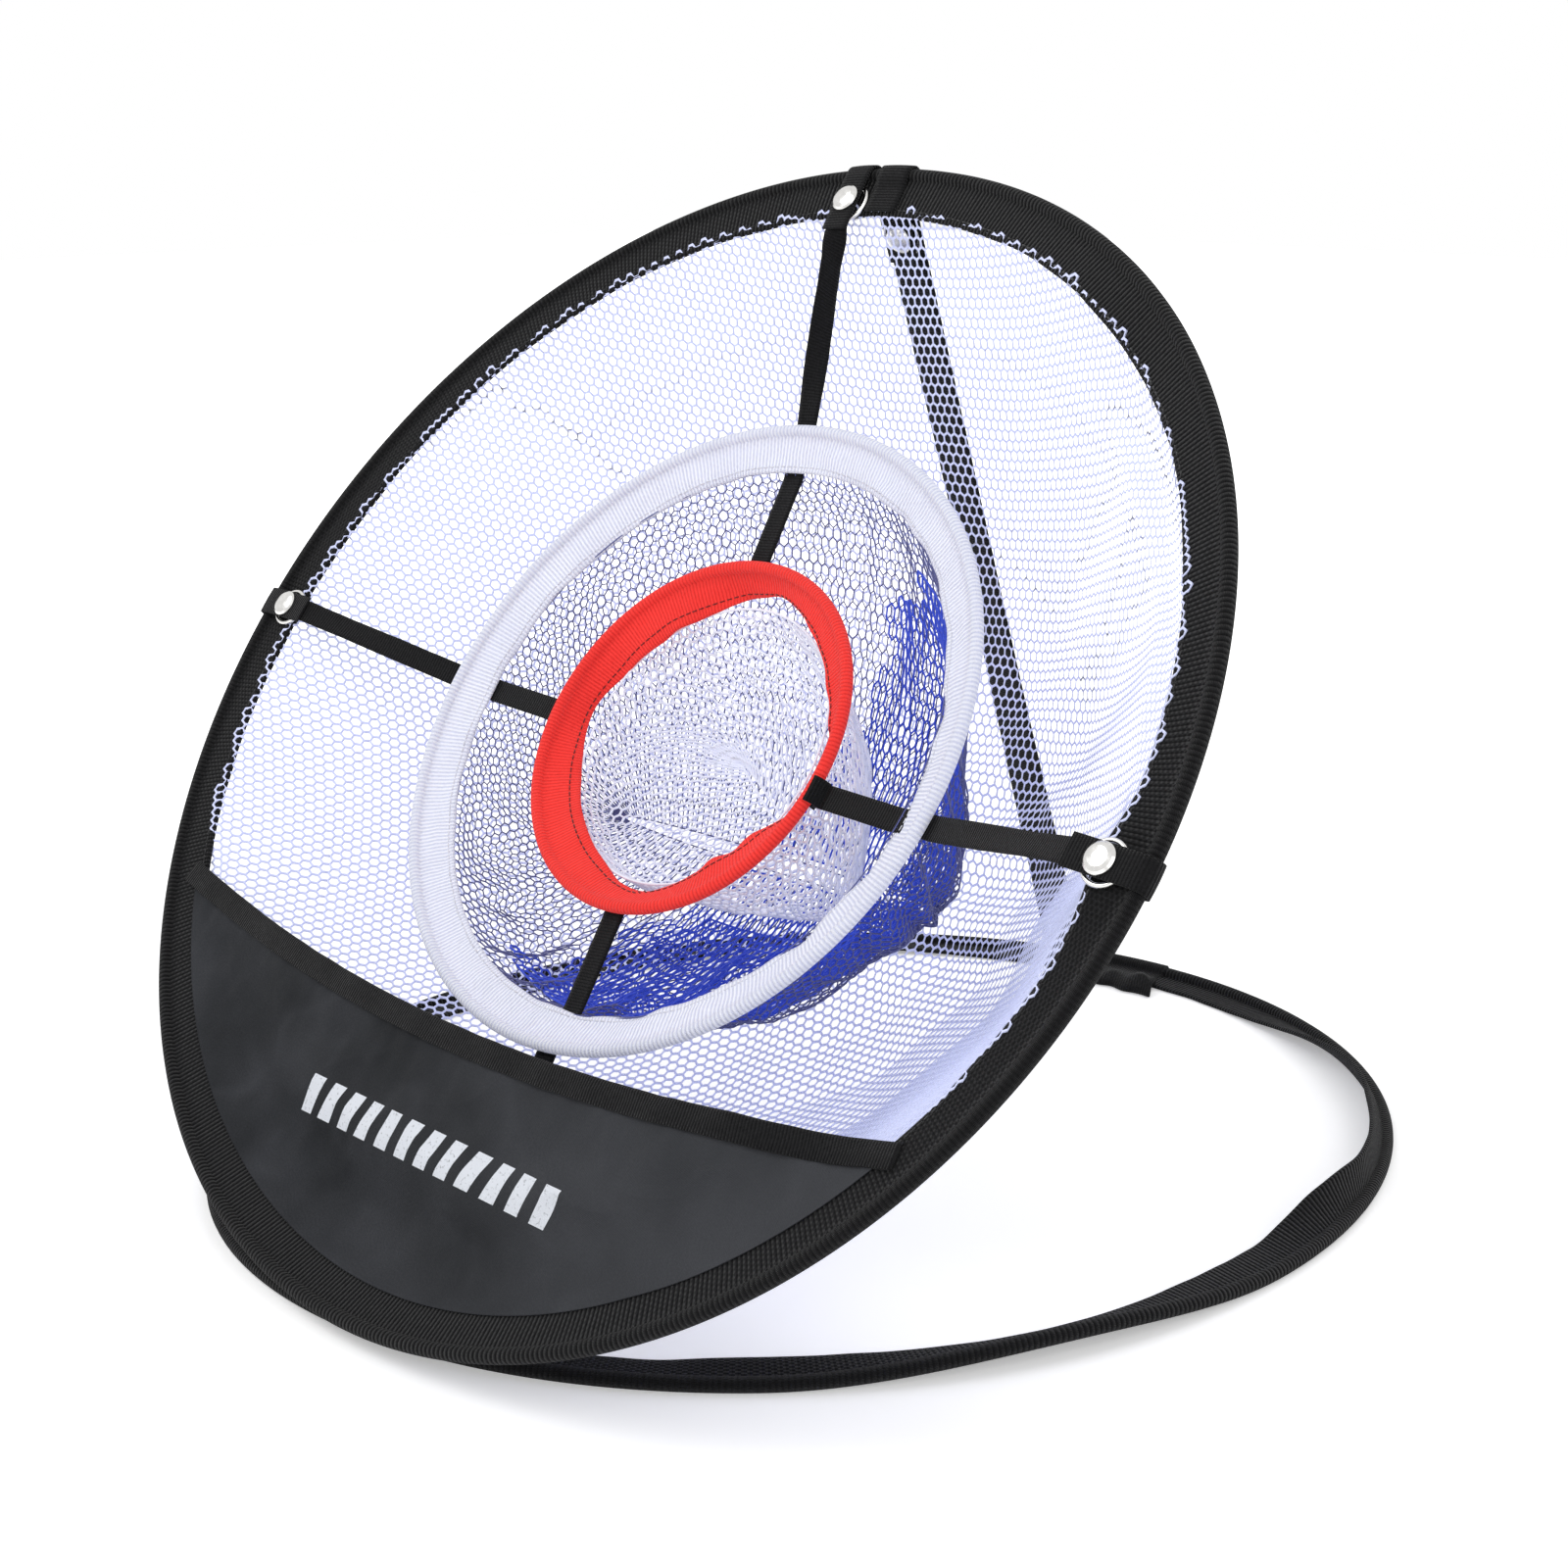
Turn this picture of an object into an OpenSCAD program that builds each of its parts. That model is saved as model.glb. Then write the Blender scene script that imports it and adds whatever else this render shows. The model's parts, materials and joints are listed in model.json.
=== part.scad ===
// Pop-up golf chipping net. A sprung wire hoop stands tilted on a second
// hoop that lies on the ground; the two are joined by a tape at the front, and
// a spine strap from the top to the back of the ground loop stops them opening.
// A net pocket hangs behind the front hoop, and a white and a red target ring,
// each with a pocket of its own, hang inside it on four straps.
//
// Frame: +X to the player's right, +Y away from the player, +Z up. The origin
// is on the ground, midway between the part's front and back.

/* [Front hoop] */
// Radius of the front hoop, to the outside of its casing
hoop_r = 254; // [240:1:270]
// Angle between the open front hoop and the ground
open_angle = 52.3; // [48:0.1:56]
// Width of the webbing casing round the hoop wire
casing_w = 22; // [18:1:26]
// Radius of the bead that the casing makes round the wire
bead_r = 3; // [2.8:0.1:3.4]
// Thickness of one layer of webbing
webbing_t = 0.9; // [0.7:0.1:1.1]
// Radius of the sprung hoop wire
wire_r = 1.25; // [1:0.05:1.4]
// Length of the crimped ferrule that joins the ends of a wire
ferrule_len = 24; // [16:1:30]

/* [Ground loop] */
// Half width of the ground loop, to the middle of its wire
loop_half_w = 226; // [215:1:240]
// Half length of the ground loop, to the middle of its wire
loop_half_l = 261; // [254:1:280]
// Clockwise turn of the loop's long axis, seen from above
loop_turn = 19; // [10:1:26]
// Offset of the loop's middle to the left
loop_offset = 7; // [0:1:16]
// Width of the ground loop's casing
loop_casing_w = 20; // [16:1:24]
// Length of the sleeve over the ends of the casing
sleeve_len = 34; // [24:1:44]

/* [Front panel and pocket] */
// Distance from the hoop's middle down to the panel's top edge
panel_top = 137; // [134:1:150]
// Sag of the panel's top edge
panel_sag = 18; // [10:1:26]
// Thickness of the panel cloth
panel_t = 0.8; // [0.6:0.1:1.2]
// Width of the binding on the panel's top edge
binding_w = 10; // [8:1:14]
// Depth of the big net pocket
pocket_depth = 140; // [130:1:150]
// Thickness that stands for the netting
net_t = 0.8; // [0.6:0.1:1]

/* [Targets] */
// Radius of the white target ring, to the outside of its casing
white_r = 138.5; // [134:0.5:142]
// Distance of the white ring's wire behind the hoop
white_depth = 22; // [18:1:25]
// Radius of the red target ring, to the outside of its casing
red_r = 78; // [72:1:84]
// Distance of the red ring's wire behind the hoop
red_depth = 28; // [25:1:32]
// Width of the casings of both target rings
target_casing_w = 20; // [18:1:22]
// Radius of the bead of both target rings
target_bead_r = 2.6; // [2.4:0.1:2.8]
// Radius of the wire in both target rings
target_wire_r = 1; // [0.8:0.05:1.2]
// Offset of the targets to the right of the hoop's middle
target_x = 3; // [0:1:6]
// Offset of the targets above the hoop's middle
target_y = 6; // [2:1:9]
// Depth of the blue pocket, from the hoop
blue_depth = 104; // [98:1:110]
// Depth of the white inner pocket, from the hoop
inner_depth = 86; // [78:1:90]

/* [Straps and fittings] */
// Width of the four target straps
strap_w = 10; // [8:1:12]
// Width of the tabs that wrap round the hoop
tab_w = 12.5; // [12:0.5:16]
// Length that a tab reaches inwards from the hoop's outside
tab_reach = 32; // [28:1:36]
// Width of the spine strap; its loop on the hoop is 4 narrower
spine_w = 20; // [16:1:24]
// Distance of a press stud inwards from the hoop's outside
stud_inset = 18; // [16:1:19]
// Radius of a press-stud cap
cap_r = 6; // [5:0.5:7]
// Height of a press-stud cap
cap_h = 2.6; // [2.2:0.1:3.2]
// Radius of the post of a press stud
post_r = 1.6; // [1.3:0.1:2]
// Outer radius of the steel keeper rings
keeper_r = 9; // [8:0.5:10]
// Radius of the wire of a keeper ring
keeper_wire_r = 1; // [0.8:0.1:1.2]

/* [Hidden] */
$fn = 96;

// Clearances
sewn_gap = 0.15;    // between layers that are sewn or pinned together
snap_gap = 0.08;    // between a cap and the post it snaps on
wire_gap = 0.05;    // between a wire and the ferrule crimped on it
fold_gap = 0.5;     // between the two beads on each side of the hinge

// Angles of the fittings round the hoop, from +X
top_angle = 94.8;
left_angle = 178.3;
right_angle = -2.3;
bottom_angle = -83;
spine_angle = 90.6;

black = [0.07, 0.07, 0.08];
steel = [0.75, 0.75, 0.76];

skirt_t = 2 * webbing_t + 0.6;
channel_r = bead_r - webbing_t;
target_channel_r = target_bead_r - webbing_t;
wire_centre_r = hoop_r - bead_r;

// Hinge line of the two hoops, above the ground loop's bead
hinge_z = 2 * bead_r + fold_gap;
hinge_lift = bead_r + fold_gap;

// Ground loop: a turned oval whose frontmost point lies just behind the hinge
loop_front = 2;
loop_reach = sqrt(pow(loop_half_w * sin(loop_turn), 2) + pow(loop_half_l * cos(loop_turn), 2));
loop_x = -loop_offset;
loop_y = loop_front + loop_reach;
part_front = -hinge_lift * sin(open_angle) - bead_r * cos(open_angle) - bead_r * 0.4;
part_back = loop_y + loop_reach + bead_r;
half_depth = (part_front + part_back) / 2;

// A point of the loop's wire, an angle round from the front, with the inward
// normal there: [x, y, normal x, normal y]
function turned(x, y) = [
    x * cos(loop_turn) + y * sin(loop_turn),
    -x * sin(loop_turn) + y * cos(loop_turn)
];
function loop_point(phi) = [loop_x, loop_y] + turned(loop_half_w * sin(phi), -loop_half_l * cos(phi));
function loop_normal(phi) =
    let (t = [loop_half_w * cos(phi), loop_half_l * sin(phi)])
    turned(-t[1], t[0]) / norm(t);

// How the casing's skirt twists up from the ground, and how far the sprung
// wire arches off it: [angle round the loop, twist, lift]
loop_twists = [
    [0, 0, 0], [50, 0, 0], [62, 8, 0], [88, -18, 6], [112, 8, 0], [132, 80, 0], [150, 64, 0],
    [190, 0, 0], [220, 0, 0], [250, 12, 0], [285, 0, 0], [315, 9, 0], [345, 0, 0], [360, 0, 0]
];
function twist_at(phi, i = 0) =
    let (a = loop_twists[i], b = loop_twists[i + 1])
    phi <= b[0]
        ? a + (b - a) * (1 - cos(180 * (phi - a[0]) / (b[0] - a[0]))) / 2
        : twist_at(phi, i + 1);

// The loop is made of short straight lengths, and every piece on it follows
// the same ones
loop_rings = 72;
loop_step = 360 / loop_rings;
function on_ring(i, inward, z) =
    let (phi = i * loop_step, q = twist_at((phi + 360) % 360), up = z - bead_r)
    let (p = loop_point(phi) + (inward * cos(q[1]) - up * sin(q[1])) * loop_normal(phi))
    [p[0], p[1], bead_r + q[2] + inward * sin(q[1]) + up * cos(q[1])];
function on_loop(phi, inward, z) =
    let (i = floor(phi / loop_step), f = phi / loop_step - i)
    (1 - f) * on_ring(i, inward, z) + f * on_ring(i + 1, inward, z);

// Seat of each layer above the hoop's plane, at a fitting
keeper_v = skirt_t / 2 + sewn_gap + keeper_wire_r;
strap_v = keeper_v + keeper_wire_r + sewn_gap;
strap_t = webbing_t + 0.1;
tab_v = strap_v + strap_t + sewn_gap;
cap_v = tab_v + webbing_t + sewn_gap;
post_end = cap_v + cap_h / 2;
stud_r = hoop_r - stud_inset;
flange_r = 4.5;
flange_t = 0.8;

// Target rings: slope of their casings towards the pockets behind them
white_slope = 20;
red_slope = 30;
target_skirt_t = 2 * webbing_t;

// Depths behind the target casings where the straps and the nets are sewn on
function skirt_reach(slope) = (target_casing_w - target_bead_r) * cos(slope);
function skirt_drop(slope) = (target_casing_w - target_bead_r) * sin(slope);
white_mouth_r = white_r - target_bead_r - skirt_reach(white_slope);
white_mouth_v = -white_depth - skirt_drop(white_slope);
red_mouth_r = red_r - target_bead_r - skirt_reach(red_slope);
red_mouth_v = -red_depth - skirt_drop(red_slope);
seam_t = target_skirt_t / 2 + sewn_gap;

// Frames -------------------------------------------------------------------

// The part's frame, from one whose origin is on the ground under the hinge
module placed() {
    translate([0, -half_depth, 0]) children();
}

// The hoop's frame: X right, Y up the hoop, Z out of its front, origin at its middle
module in_hoop() {
    placed()
    translate([0, 0, hinge_z])
    rotate([open_angle, 0, 0])
    translate([0, wire_centre_r, hinge_lift])
    children();
}

module in_target() {
    in_hoop() translate([target_x, target_y, 0]) children();
}

// A place on the hoop: X outwards, Y along the hoop, Z out of its front
module at_angle(angle) {
    in_hoop() rotate([0, 0, angle]) children();
}

// Turns a profile drawn as radius and height into a strip of a given width
module strip(width) {
    rotate([90, 0, 0]) linear_extrude(width, center = true) children();
}

// Sweeps -------------------------------------------------------------------

// A profile of [inward, z] points carried round the ground loop. An open end is
// closed from each point of the profile's first half to its partner in the second
module loop_sweep(profile, from = 0, to = 360) {
    whole = to - from == 360;
    first = floor(from / loop_step + 0.01) + 1;
    last = ceil(to / loop_step - 0.01) - 1;
    stops = whole
        ? [for (i = [0 : loop_rings - 1]) i * loop_step]
        : concat([from], first > last ? [] : [for (i = [first : last]) i * loop_step], [to]);
    n = len(profile);
    rings = len(stops);
    points = [for (phi = stops) for (q = profile) on_loop(phi, q[0], q[1])];
    sides = [
        for (i = [0 : (whole ? rings : rings - 1) - 1])
            for (j = [0 : n - 1])
                let (a = i * n, b = ((i + 1) % rings) * n, k = (j + 1) % n)
                each [[a + j, b + j, b + k], [a + j, b + k, a + k]]
    ];
    last_ring = (rings - 1) * n;
    caps = whole ? [] : [
        for (j = [0 : n / 2 - 2])
            let (a = [j, j + 1, n - 2 - j, n - 1 - j])
            each [a, [for (k = [3 : -1 : 0]) last_ring + a[k]]]
    ];
    polyhedron(points, concat(sides, caps), convexity = 6);
}

function ring_profile(r, sides = 8) = [
    for (i = [0 : sides - 1])
        let (a = (i + 0.5) * 360 / sides)
        [r * cos(a), bead_r + r * sin(a)]
];

// A net pocket lofted through rings of [height, middle y, half width, half
// height, turn], from its mouth to its end
module loft(rings, sides = 40) {
    points = [
        for (q = rings)
            for (j = [0 : sides - 1])
                let (a = 360 * j / sides, x = q[2] * cos(a), y = q[3] * sin(a))
                [x * cos(q[4]) - y * sin(q[4]), q[1] + x * sin(q[4]) + y * cos(q[4]), q[0]]
    ];
    walls = [
        for (i = [0 : len(rings) - 2])
            for (j = [0 : sides - 1])
                let (a = i * sides, b = a + sides, k = (j + 1) % sides)
                each [[a + j, b + k, b + j], [a + j, a + k, b + k]]
    ];
    last = (len(rings) - 1) * sides;
    caps = [
        [for (j = [sides - 1 : -1 : 0]) j],
        [for (j = [0 : sides - 1]) last + j]
    ];
    polyhedron(points, concat(walls, caps), convexity = 6);
}

// The space inside a lofted pocket: the same rings drawn in by the net's
// thickness, and carried out past the mouth
function drawn_in(rings) = concat(
    [[rings[0][0] + 1, rings[0][1], rings[0][2] - net_t, rings[0][3] - net_t, 0]],
    [
        for (i = [0 : len(rings) - 2])
            let (q = rings[i])
            [q[0], q[1], q[2] - net_t, q[3] - net_t, q[4]]
    ],
    [
        let (q = rings[len(rings) - 1])
        [q[0] + net_t, q[1], q[2] - net_t, q[3] - net_t, q[4]]
    ]
);

module pocket(rings) {
    difference() {
        loft(rings);
        loft(drawn_in(rings));
    }
}

// Shared shapes ------------------------------------------------------------

// Section of a webbing casing folded over a wire: a bead with a flat skirt
// that slopes away from it
module casing_section(outside_r, width, bead, skirt, channel, slope) {
    translate([outside_r - bead, 0])
    rotate(slope)
    difference() {
        union() {
            circle(bead);
            translate([-(width - bead), -skirt / 2]) square([width - bead, skirt]);
        }
        circle(channel);
    }
}

// A wire ring with its two ends a hair apart at the bottom
module wire_ring(centre_r, r) {
    rotate([0, 0, -90 + 0.1])
    rotate_extrude(angle = 359.8)
    translate([centre_r, 0]) circle(r, $fn = 24);
}

// A target strap, from its press stud to the back of the red casing. The
// strap passes behind the white ring's casing and in front of both nets.
function strap_route(shift) =
    let (back = -seam_t - strap_t / 2 - 0.3)
    [
        [stud_r + 5, strap_v + strap_t / 2],
        [stud_r - keeper_r - 3, strap_v + strap_t / 2],
        [white_r + shift + 1, -white_depth - target_bead_r - strap_t],
        [white_r + shift - 2 * target_bead_r, -white_depth - target_bead_r - strap_t],
        [white_mouth_r + shift - 1, white_mouth_v + back - 0.5],
        [red_r + shift + 1, -red_depth - target_bead_r - strap_t],
        [red_r + shift - 2 * target_bead_r, -red_depth - target_bead_r - strap_t],
        [red_mouth_r + shift + 1, red_mouth_v + back]
    ];

function shift_at(angle) = target_x * cos(angle) + target_y * sin(angle);

// A route of [radius, height] points thickened to a strip's profile
module thick(route, t) {
    for (i = [0 : len(route) - 2]) {
        a = route[i];
        b = route[i + 1];
        d = (b - a) / norm(b - a);
        n = [-d[1], d[0]] * t / 2;
        polygon([a + n, a - n, b - n, b + n]);
        translate(b) circle(t / 2 - 0.001, $fn = 16);
    }
}

module target_strap(angle, route, hole = true, grow = 0) {
    at_angle(angle)
    difference() {
        strip(strap_w + 2 * grow) thick(route, strap_t + 2 * grow);
        if (hole) stud_hole();
    }
}

module stud_hole() {
    translate([stud_r, 0, -10]) cylinder(r = post_r + sewn_gap, h = 30);
}

// The bottom strap ends on the back of the hoop's casing, behind the panel
function bottom_route(shift) = concat(
    [
        [hoop_r - casing_w + 8, -skirt_t / 2 - sewn_gap - strap_t / 2],
        [hoop_r - casing_w - 4, -skirt_t / 2 - sewn_gap - strap_t / 2 - 0.4]
    ],
    [for (i = [2 : 7]) strap_route(shift)[i]]
);

// A webbing tab wrapped round the hoop over the strap and the keeper ring
module hoop_tab(angle) {
    out = hoop_r + sewn_gap + webbing_t;
    under = skirt_t / 2 + sewn_gap;
    color(black)
    at_angle(angle)
    difference() {
        strip(tab_w)
        polygon([
            [hoop_r - tab_reach, tab_v], [hoop_r + sewn_gap, tab_v],
            [hoop_r + sewn_gap, -bead_r - sewn_gap],
            [hoop_r - 2 * bead_r, -bead_r - sewn_gap],
            [hoop_r - 3 * bead_r, -under], [hoop_r - casing_w + 0.5, -under],
            [hoop_r - casing_w + 0.5, -under - webbing_t],
            [hoop_r - 3 * bead_r, -under - webbing_t],
            [hoop_r - 2 * bead_r, -bead_r - sewn_gap - webbing_t],
            [out, -bead_r - sewn_gap - webbing_t],
            [out, tab_v + webbing_t], [hoop_r - tab_reach, tab_v + webbing_t]
        ]);
        stud_hole();
    }
}

// Press-stud parts, drawn about the stud's axis with Z out of the front
module post_shape(back, front) {
    color(steel) {
        translate([0, 0, back - flange_t]) cylinder(r = flange_r, h = flange_t);
        translate([0, 0, back - 0.01]) cylinder(r = post_r, h = front - back + 0.01);
    }
}

module cap_shape(seat, post_top) {
    color(steel)
    translate([0, 0, seat])
    difference() {
        rotate_extrude() polygon([
            [0, 0], [cap_r - 0.4, 0], [cap_r, 0.4], [cap_r, 0.9],
            [cap_r * 0.86, cap_h * 0.62], [cap_r * 0.62, cap_h * 0.86],
            [cap_r * 0.32, cap_h * 0.97], [0, cap_h]
        ]);
        translate([0, 0, -1]) cylinder(r = post_r + snap_gap, h = post_top - seat + 1 + snap_gap);
    }
}

module keeper_shape(seat) {
    color(steel)
    translate([0, 0, seat])
    rotate_extrude()
    translate([keeper_r - keeper_wire_r, 0]) circle(keeper_wire_r, $fn = 32);
}

module at_stud(angle) {
    at_angle(angle) translate([stud_r, 0, 0]) children();
}

post_back = -skirt_t / 2 - 2 * sewn_gap - webbing_t;

// Ground loop --------------------------------------------------------------

// Where the ends of the loop's wire and casing meet, at its back
seam_phi = 205;

// Half of the angle that a length covers at the back of the loop
loop_speed = norm([loop_half_w * cos(seam_phi), loop_half_l * sin(seam_phi)]);
function back_angle(len) = len / 2 / loop_speed * 180 / PI;

module base_wire() {
    placed() color(steel) loop_sweep(ring_profile(wire_r), seam_phi - 359.9, seam_phi - 0.1);
}

module base_ferrule() {
    half = back_angle(ferrule_len);
    placed()
    color(steel)
    difference() {
        loop_sweep(ring_profile(channel_r - sewn_gap), seam_phi - half, seam_phi + half);
        loop_sweep(ring_profile(wire_r + wire_gap), seam_phi - 1 - half, seam_phi + 1 + half);
    }
}

// Section of the loop's casing before it twists, with its bead outwards
base_section = [
    [loop_casing_w - bead_r, 0], [loop_casing_w - bead_r, skirt_t],
    [sqrt(pow(bead_r, 2) - pow(bead_r - skirt_t, 2)), skirt_t],
    for (a = [45 : 45 : 270]) [bead_r * cos(a), bead_r + bead_r * sin(a)]
];

module base_casing() {
    placed()
    color(black)
    difference() {
        loop_sweep(base_section);
        loop_sweep(ring_profile(channel_r));
    }
}

// Arched sleeve sewn over the ends of the loop's casing
module base_sleeve() {
    inner = loop_casing_w - bead_r + sewn_gap;
    low = skirt_t + sewn_gap;
    high = 2 * bead_r + sewn_gap;
    side = bead_r + sewn_gap;
    half = back_angle(sleeve_len);
    placed()
    color(black)
    loop_sweep(
        [
            [inner + webbing_t, 0], [inner + webbing_t, low + webbing_t],
            [side + 1, low + webbing_t], [side, high + webbing_t],
            [-side, high + webbing_t], [-side - webbing_t, high], [-side - webbing_t, 0],
            [-side, 0], [-side, high - 0.5], [-side + 0.5, high], [side - 0.5, high],
            [side, low], [inner, low], [inner, 0]
        ],
        seam_phi - half, seam_phi + half
    );
}

// Where the spine strap meets the ground loop
foot_phi = seam_phi + back_angle(sleeve_len) + back_angle(spine_w) + 0.7;
foot_low = on_loop(foot_phi, loop_casing_w - bead_r + 5, skirt_t + 1.5);

// Folded end of the spine strap, sewn down over the loop's casing
module spine_foot() {
    inner = loop_casing_w - bead_r;
    low = skirt_t + sewn_gap;
    high = 2 * bead_r + sewn_gap;
    side = bead_r + sewn_gap;
    half = back_angle(spine_w);
    placed()
    color(black)
    loop_sweep(
        [
            [inner + 18, webbing_t], [inner + 10, low / 2 + webbing_t],
            [inner + 2, low + webbing_t],
            [side + 1, low + webbing_t], [side, high + webbing_t],
            [-side, high + webbing_t], [-side - webbing_t, high], [-side - webbing_t, 0],
            [-side, 0], [-side, high - 0.5], [-side + 0.5, high], [side - 0.5, high],
            [side, low], [inner + sewn_gap, low], [inner + sewn_gap, 0], [inner + 18, 0]
        ],
        foot_phi - half, foot_phi + half
    );
}

// Tape sewn to the back of the hoop's casing and to the top of the loop's casing
module hinge_tape() {
    tape_len = 40;
    t = webbing_t;
    up = [cos(open_angle), sin(open_angle)];
    out = [-sin(open_angle), cos(open_angle)];
    behind = -skirt_t / 2 - sewn_gap;
    function hoop_side(along, away) =
        [0, hinge_z] + (along - bead_r) * up + (hinge_lift + away) * out;
    placed()
    color(black)
    rotate([90, 0, 90])
    linear_extrude(tape_len, center = true)
    polygon([
        hoop_side(casing_w - 2, behind), hoop_side(2.6 * bead_r, behind),
        [12, skirt_t + 2.2], [12, skirt_t + 0.6], [16.5, skirt_t + 0.6],
        [16.5, skirt_t + 0.6 + t], [13.4, skirt_t + 0.6 + t], [13.4, skirt_t + 2.4],
        hoop_side(2.7 * bead_r, behind - t), hoop_side(casing_w - 2, behind - t)
    ]);
}

// Front hoop ---------------------------------------------------------------

module hoop_wire() {
    color(steel) in_hoop() wire_ring(wire_centre_r, wire_r);
}

module hoop_ferrule() {
    half = ferrule_len / 2 / wire_centre_r * 180 / PI;
    color(steel)
    in_hoop()
    rotate([0, 0, -90 - half])
    rotate_extrude(angle = 2 * half)
    translate([wire_centre_r, 0])
    difference() {
        circle(channel_r - sewn_gap, $fn = 32);
        circle(wire_r + wire_gap, $fn = 32);
    }
}

module hoop_casing() {
    color(black)
    difference() {
        in_hoop()
        rotate_extrude($fn = 180)
        casing_section(hoop_r, casing_w, bead_r, skirt_t, channel_r, 0);
        for (angle = [top_angle, left_angle, right_angle])
            at_angle(angle) stud_hole();
    }
}

// Radius of the panel's sagging top edge
panel_edge_r = (pow(hoop_r - casing_w, 2) - pow(panel_top, 2) + pow(panel_sag, 2)) / (2 * panel_sag);

module panel_outline(drop) {
    intersection() {
        circle(hoop_r - casing_w - sewn_gap, $fn = 180);
        difference() {
            translate([-hoop_r, -hoop_r]) square([2 * hoop_r, hoop_r]);
            translate([0, panel_edge_r - panel_top - drop]) circle(panel_edge_r, $fn = 360);
        }
    }
}

module front_panel() {
    color([0.16, 0.17, 0.18])
    in_hoop()
    linear_extrude(panel_t, center = true) panel_outline(webbing_t + sewn_gap);
}

module panel_binding() {
    color(black)
    in_hoop()
    difference() {
        linear_extrude(panel_t + 2 * (sewn_gap + webbing_t), center = true)
        difference() {
            panel_outline(0);
            panel_outline(binding_w);
        }
        linear_extrude(panel_t + 2 * sewn_gap, center = true) panel_outline(webbing_t);
    }
}

// The big pocket: rings shrink evenly to a rounded end
net_mouth_r = hoop_r - casing_w - 0.6;
net_mouth_v = -skirt_t / 2 - sewn_gap;
outer_rings = [
    for (q = [[0, 1], [0.2, 0.885], [0.43, 0.755], [0.65, 0.63], [0.82, 0.515], [0.94, 0.38], [1, 0.2]])
        let (r = net_mouth_r)
        [net_mouth_v - (pocket_depth + net_mouth_v) * q[0], -0.026 * r * q[0], r * q[1], r * q[1], 0]
];

// Square openings of the big pocket's net, straight back from the hoop
net_across = 11;
net_bar = 5;
module net_grid() {
    pitch = 2 * net_mouth_r / net_across;
    opening = pitch - net_bar;
    for (i = [0 : net_across - 1], j = [0 : net_across - 1]) {
        x = (i + 0.5) * pitch - net_mouth_r;
        y = (j + 0.5) * pitch - net_mouth_r;
        if (norm([abs(x) + opening / 2, abs(y) + opening / 2]) < 0.955 * net_mouth_r)
            translate([x - opening / 2, y - opening / 2, -pocket_depth - 1])
            cube([opening, opening, pocket_depth]);
    }
}

module outer_net() {
    color([0.9, 0.91, 0.97])
    difference() {
        in_hoop()
        difference() {
            pocket(outer_rings);
            net_grid();
        }
        target_strap(bottom_angle, bottom_route(shift_at(bottom_angle)), hole = false, grow = 0.3);
    }
}

// White target -------------------------------------------------------------

module white_ring_wire() {
    color(steel)
    in_target()
    translate([0, 0, -white_depth])
    wire_ring(white_r - target_bead_r, target_wire_r);
}

module white_ring_casing() {
    color([0.88, 0.89, 0.95])
    in_target()
    translate([0, 0, -white_depth])
    rotate_extrude($fn = 144)
    casing_section(
        white_r, target_casing_w, target_bead_r, target_skirt_t, target_channel_r, white_slope
    );
}

// The blue pocket sags below its ring and ends in a straight seam. Each row is
// the share of its depth, its sag, its half width and its half height
blue_rings = [
    for (q = [
        [0, 0, 1, 1], [0.2, 0.025, 0.985, 0.93], [0.4, 0.066, 0.955, 0.8],
        [0.6, 0.107, 0.91, 0.62], [0.8, 0.14, 0.84, 0.38], [0.93, 0.165, 0.77, 0.17],
        [1, 0.174, 0.72, 0.04]
    ])
        let (top = white_mouth_v - seam_t, r = white_mouth_r + 1.5)
        [top - (blue_depth + top) * q[0], -r * q[1], r * q[2], r * q[3], 0]
];

module strap_slots() {
    for (angle = [top_angle, left_angle, right_angle])
        target_strap(angle, strap_route(shift_at(angle)), hole = false, grow = 0.3);
    target_strap(bottom_angle, bottom_route(shift_at(bottom_angle)), hole = false, grow = 0.3);
}

module blue_net() {
    color([0.16, 0.24, 0.72])
    difference() {
        in_target() pocket(blue_rings);
        strap_slots();
    }
}

// Red target ---------------------------------------------------------------

module red_ring_wire() {
    color(steel)
    in_target()
    translate([0, 0, -red_depth])
    wire_ring(red_r - target_bead_r, target_wire_r);
}

module red_ring_casing() {
    color([0.9, 0.16, 0.12])
    in_target()
    translate([0, 0, -red_depth])
    rotate_extrude($fn = 120)
    casing_section(
        red_r, target_casing_w, target_bead_r, target_skirt_t, target_channel_r, red_slope
    );
}

// The inner pocket ends in a straight seam that lies askew
inner_rings = [
    for (q = [
        [0, 0, 1, 1, 0], [0.25, 0.049, 0.98, 0.88, 0], [0.5, 0.113, 0.96, 0.66, -12],
        [0.75, 0.162, 0.93, 0.38, -22], [0.92, 0.194, 0.89, 0.15, -28],
        [1, 0.194, 0.86, 0.06, -30]
    ])
        let (top = red_mouth_v - seam_t, r = red_mouth_r + 1.5)
        [top - (inner_depth + top) * q[0], -r * q[1], r * q[2], r * q[3], q[4]]
];

module inner_net() {
    color([0.92, 0.93, 0.98])
    difference() {
        in_target() pocket(inner_rings);
        strap_slots();
    }
}

// Straps -------------------------------------------------------------------

module strap_top() {
    color(black) target_strap(top_angle, strap_route(shift_at(top_angle)));
}

module strap_left() {
    color(black) target_strap(left_angle, strap_route(shift_at(left_angle)));
}

module strap_right() {
    color(black) target_strap(right_angle, strap_route(shift_at(right_angle)));
}

module strap_bottom() {
    color(black)
    target_strap(bottom_angle, bottom_route(shift_at(bottom_angle)), hole = false);
}

module tab_top() { hoop_tab(top_angle); }
module tab_left() { hoop_tab(left_angle); }
module tab_right() { hoop_tab(right_angle); }

// Spine --------------------------------------------------------------------

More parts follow.
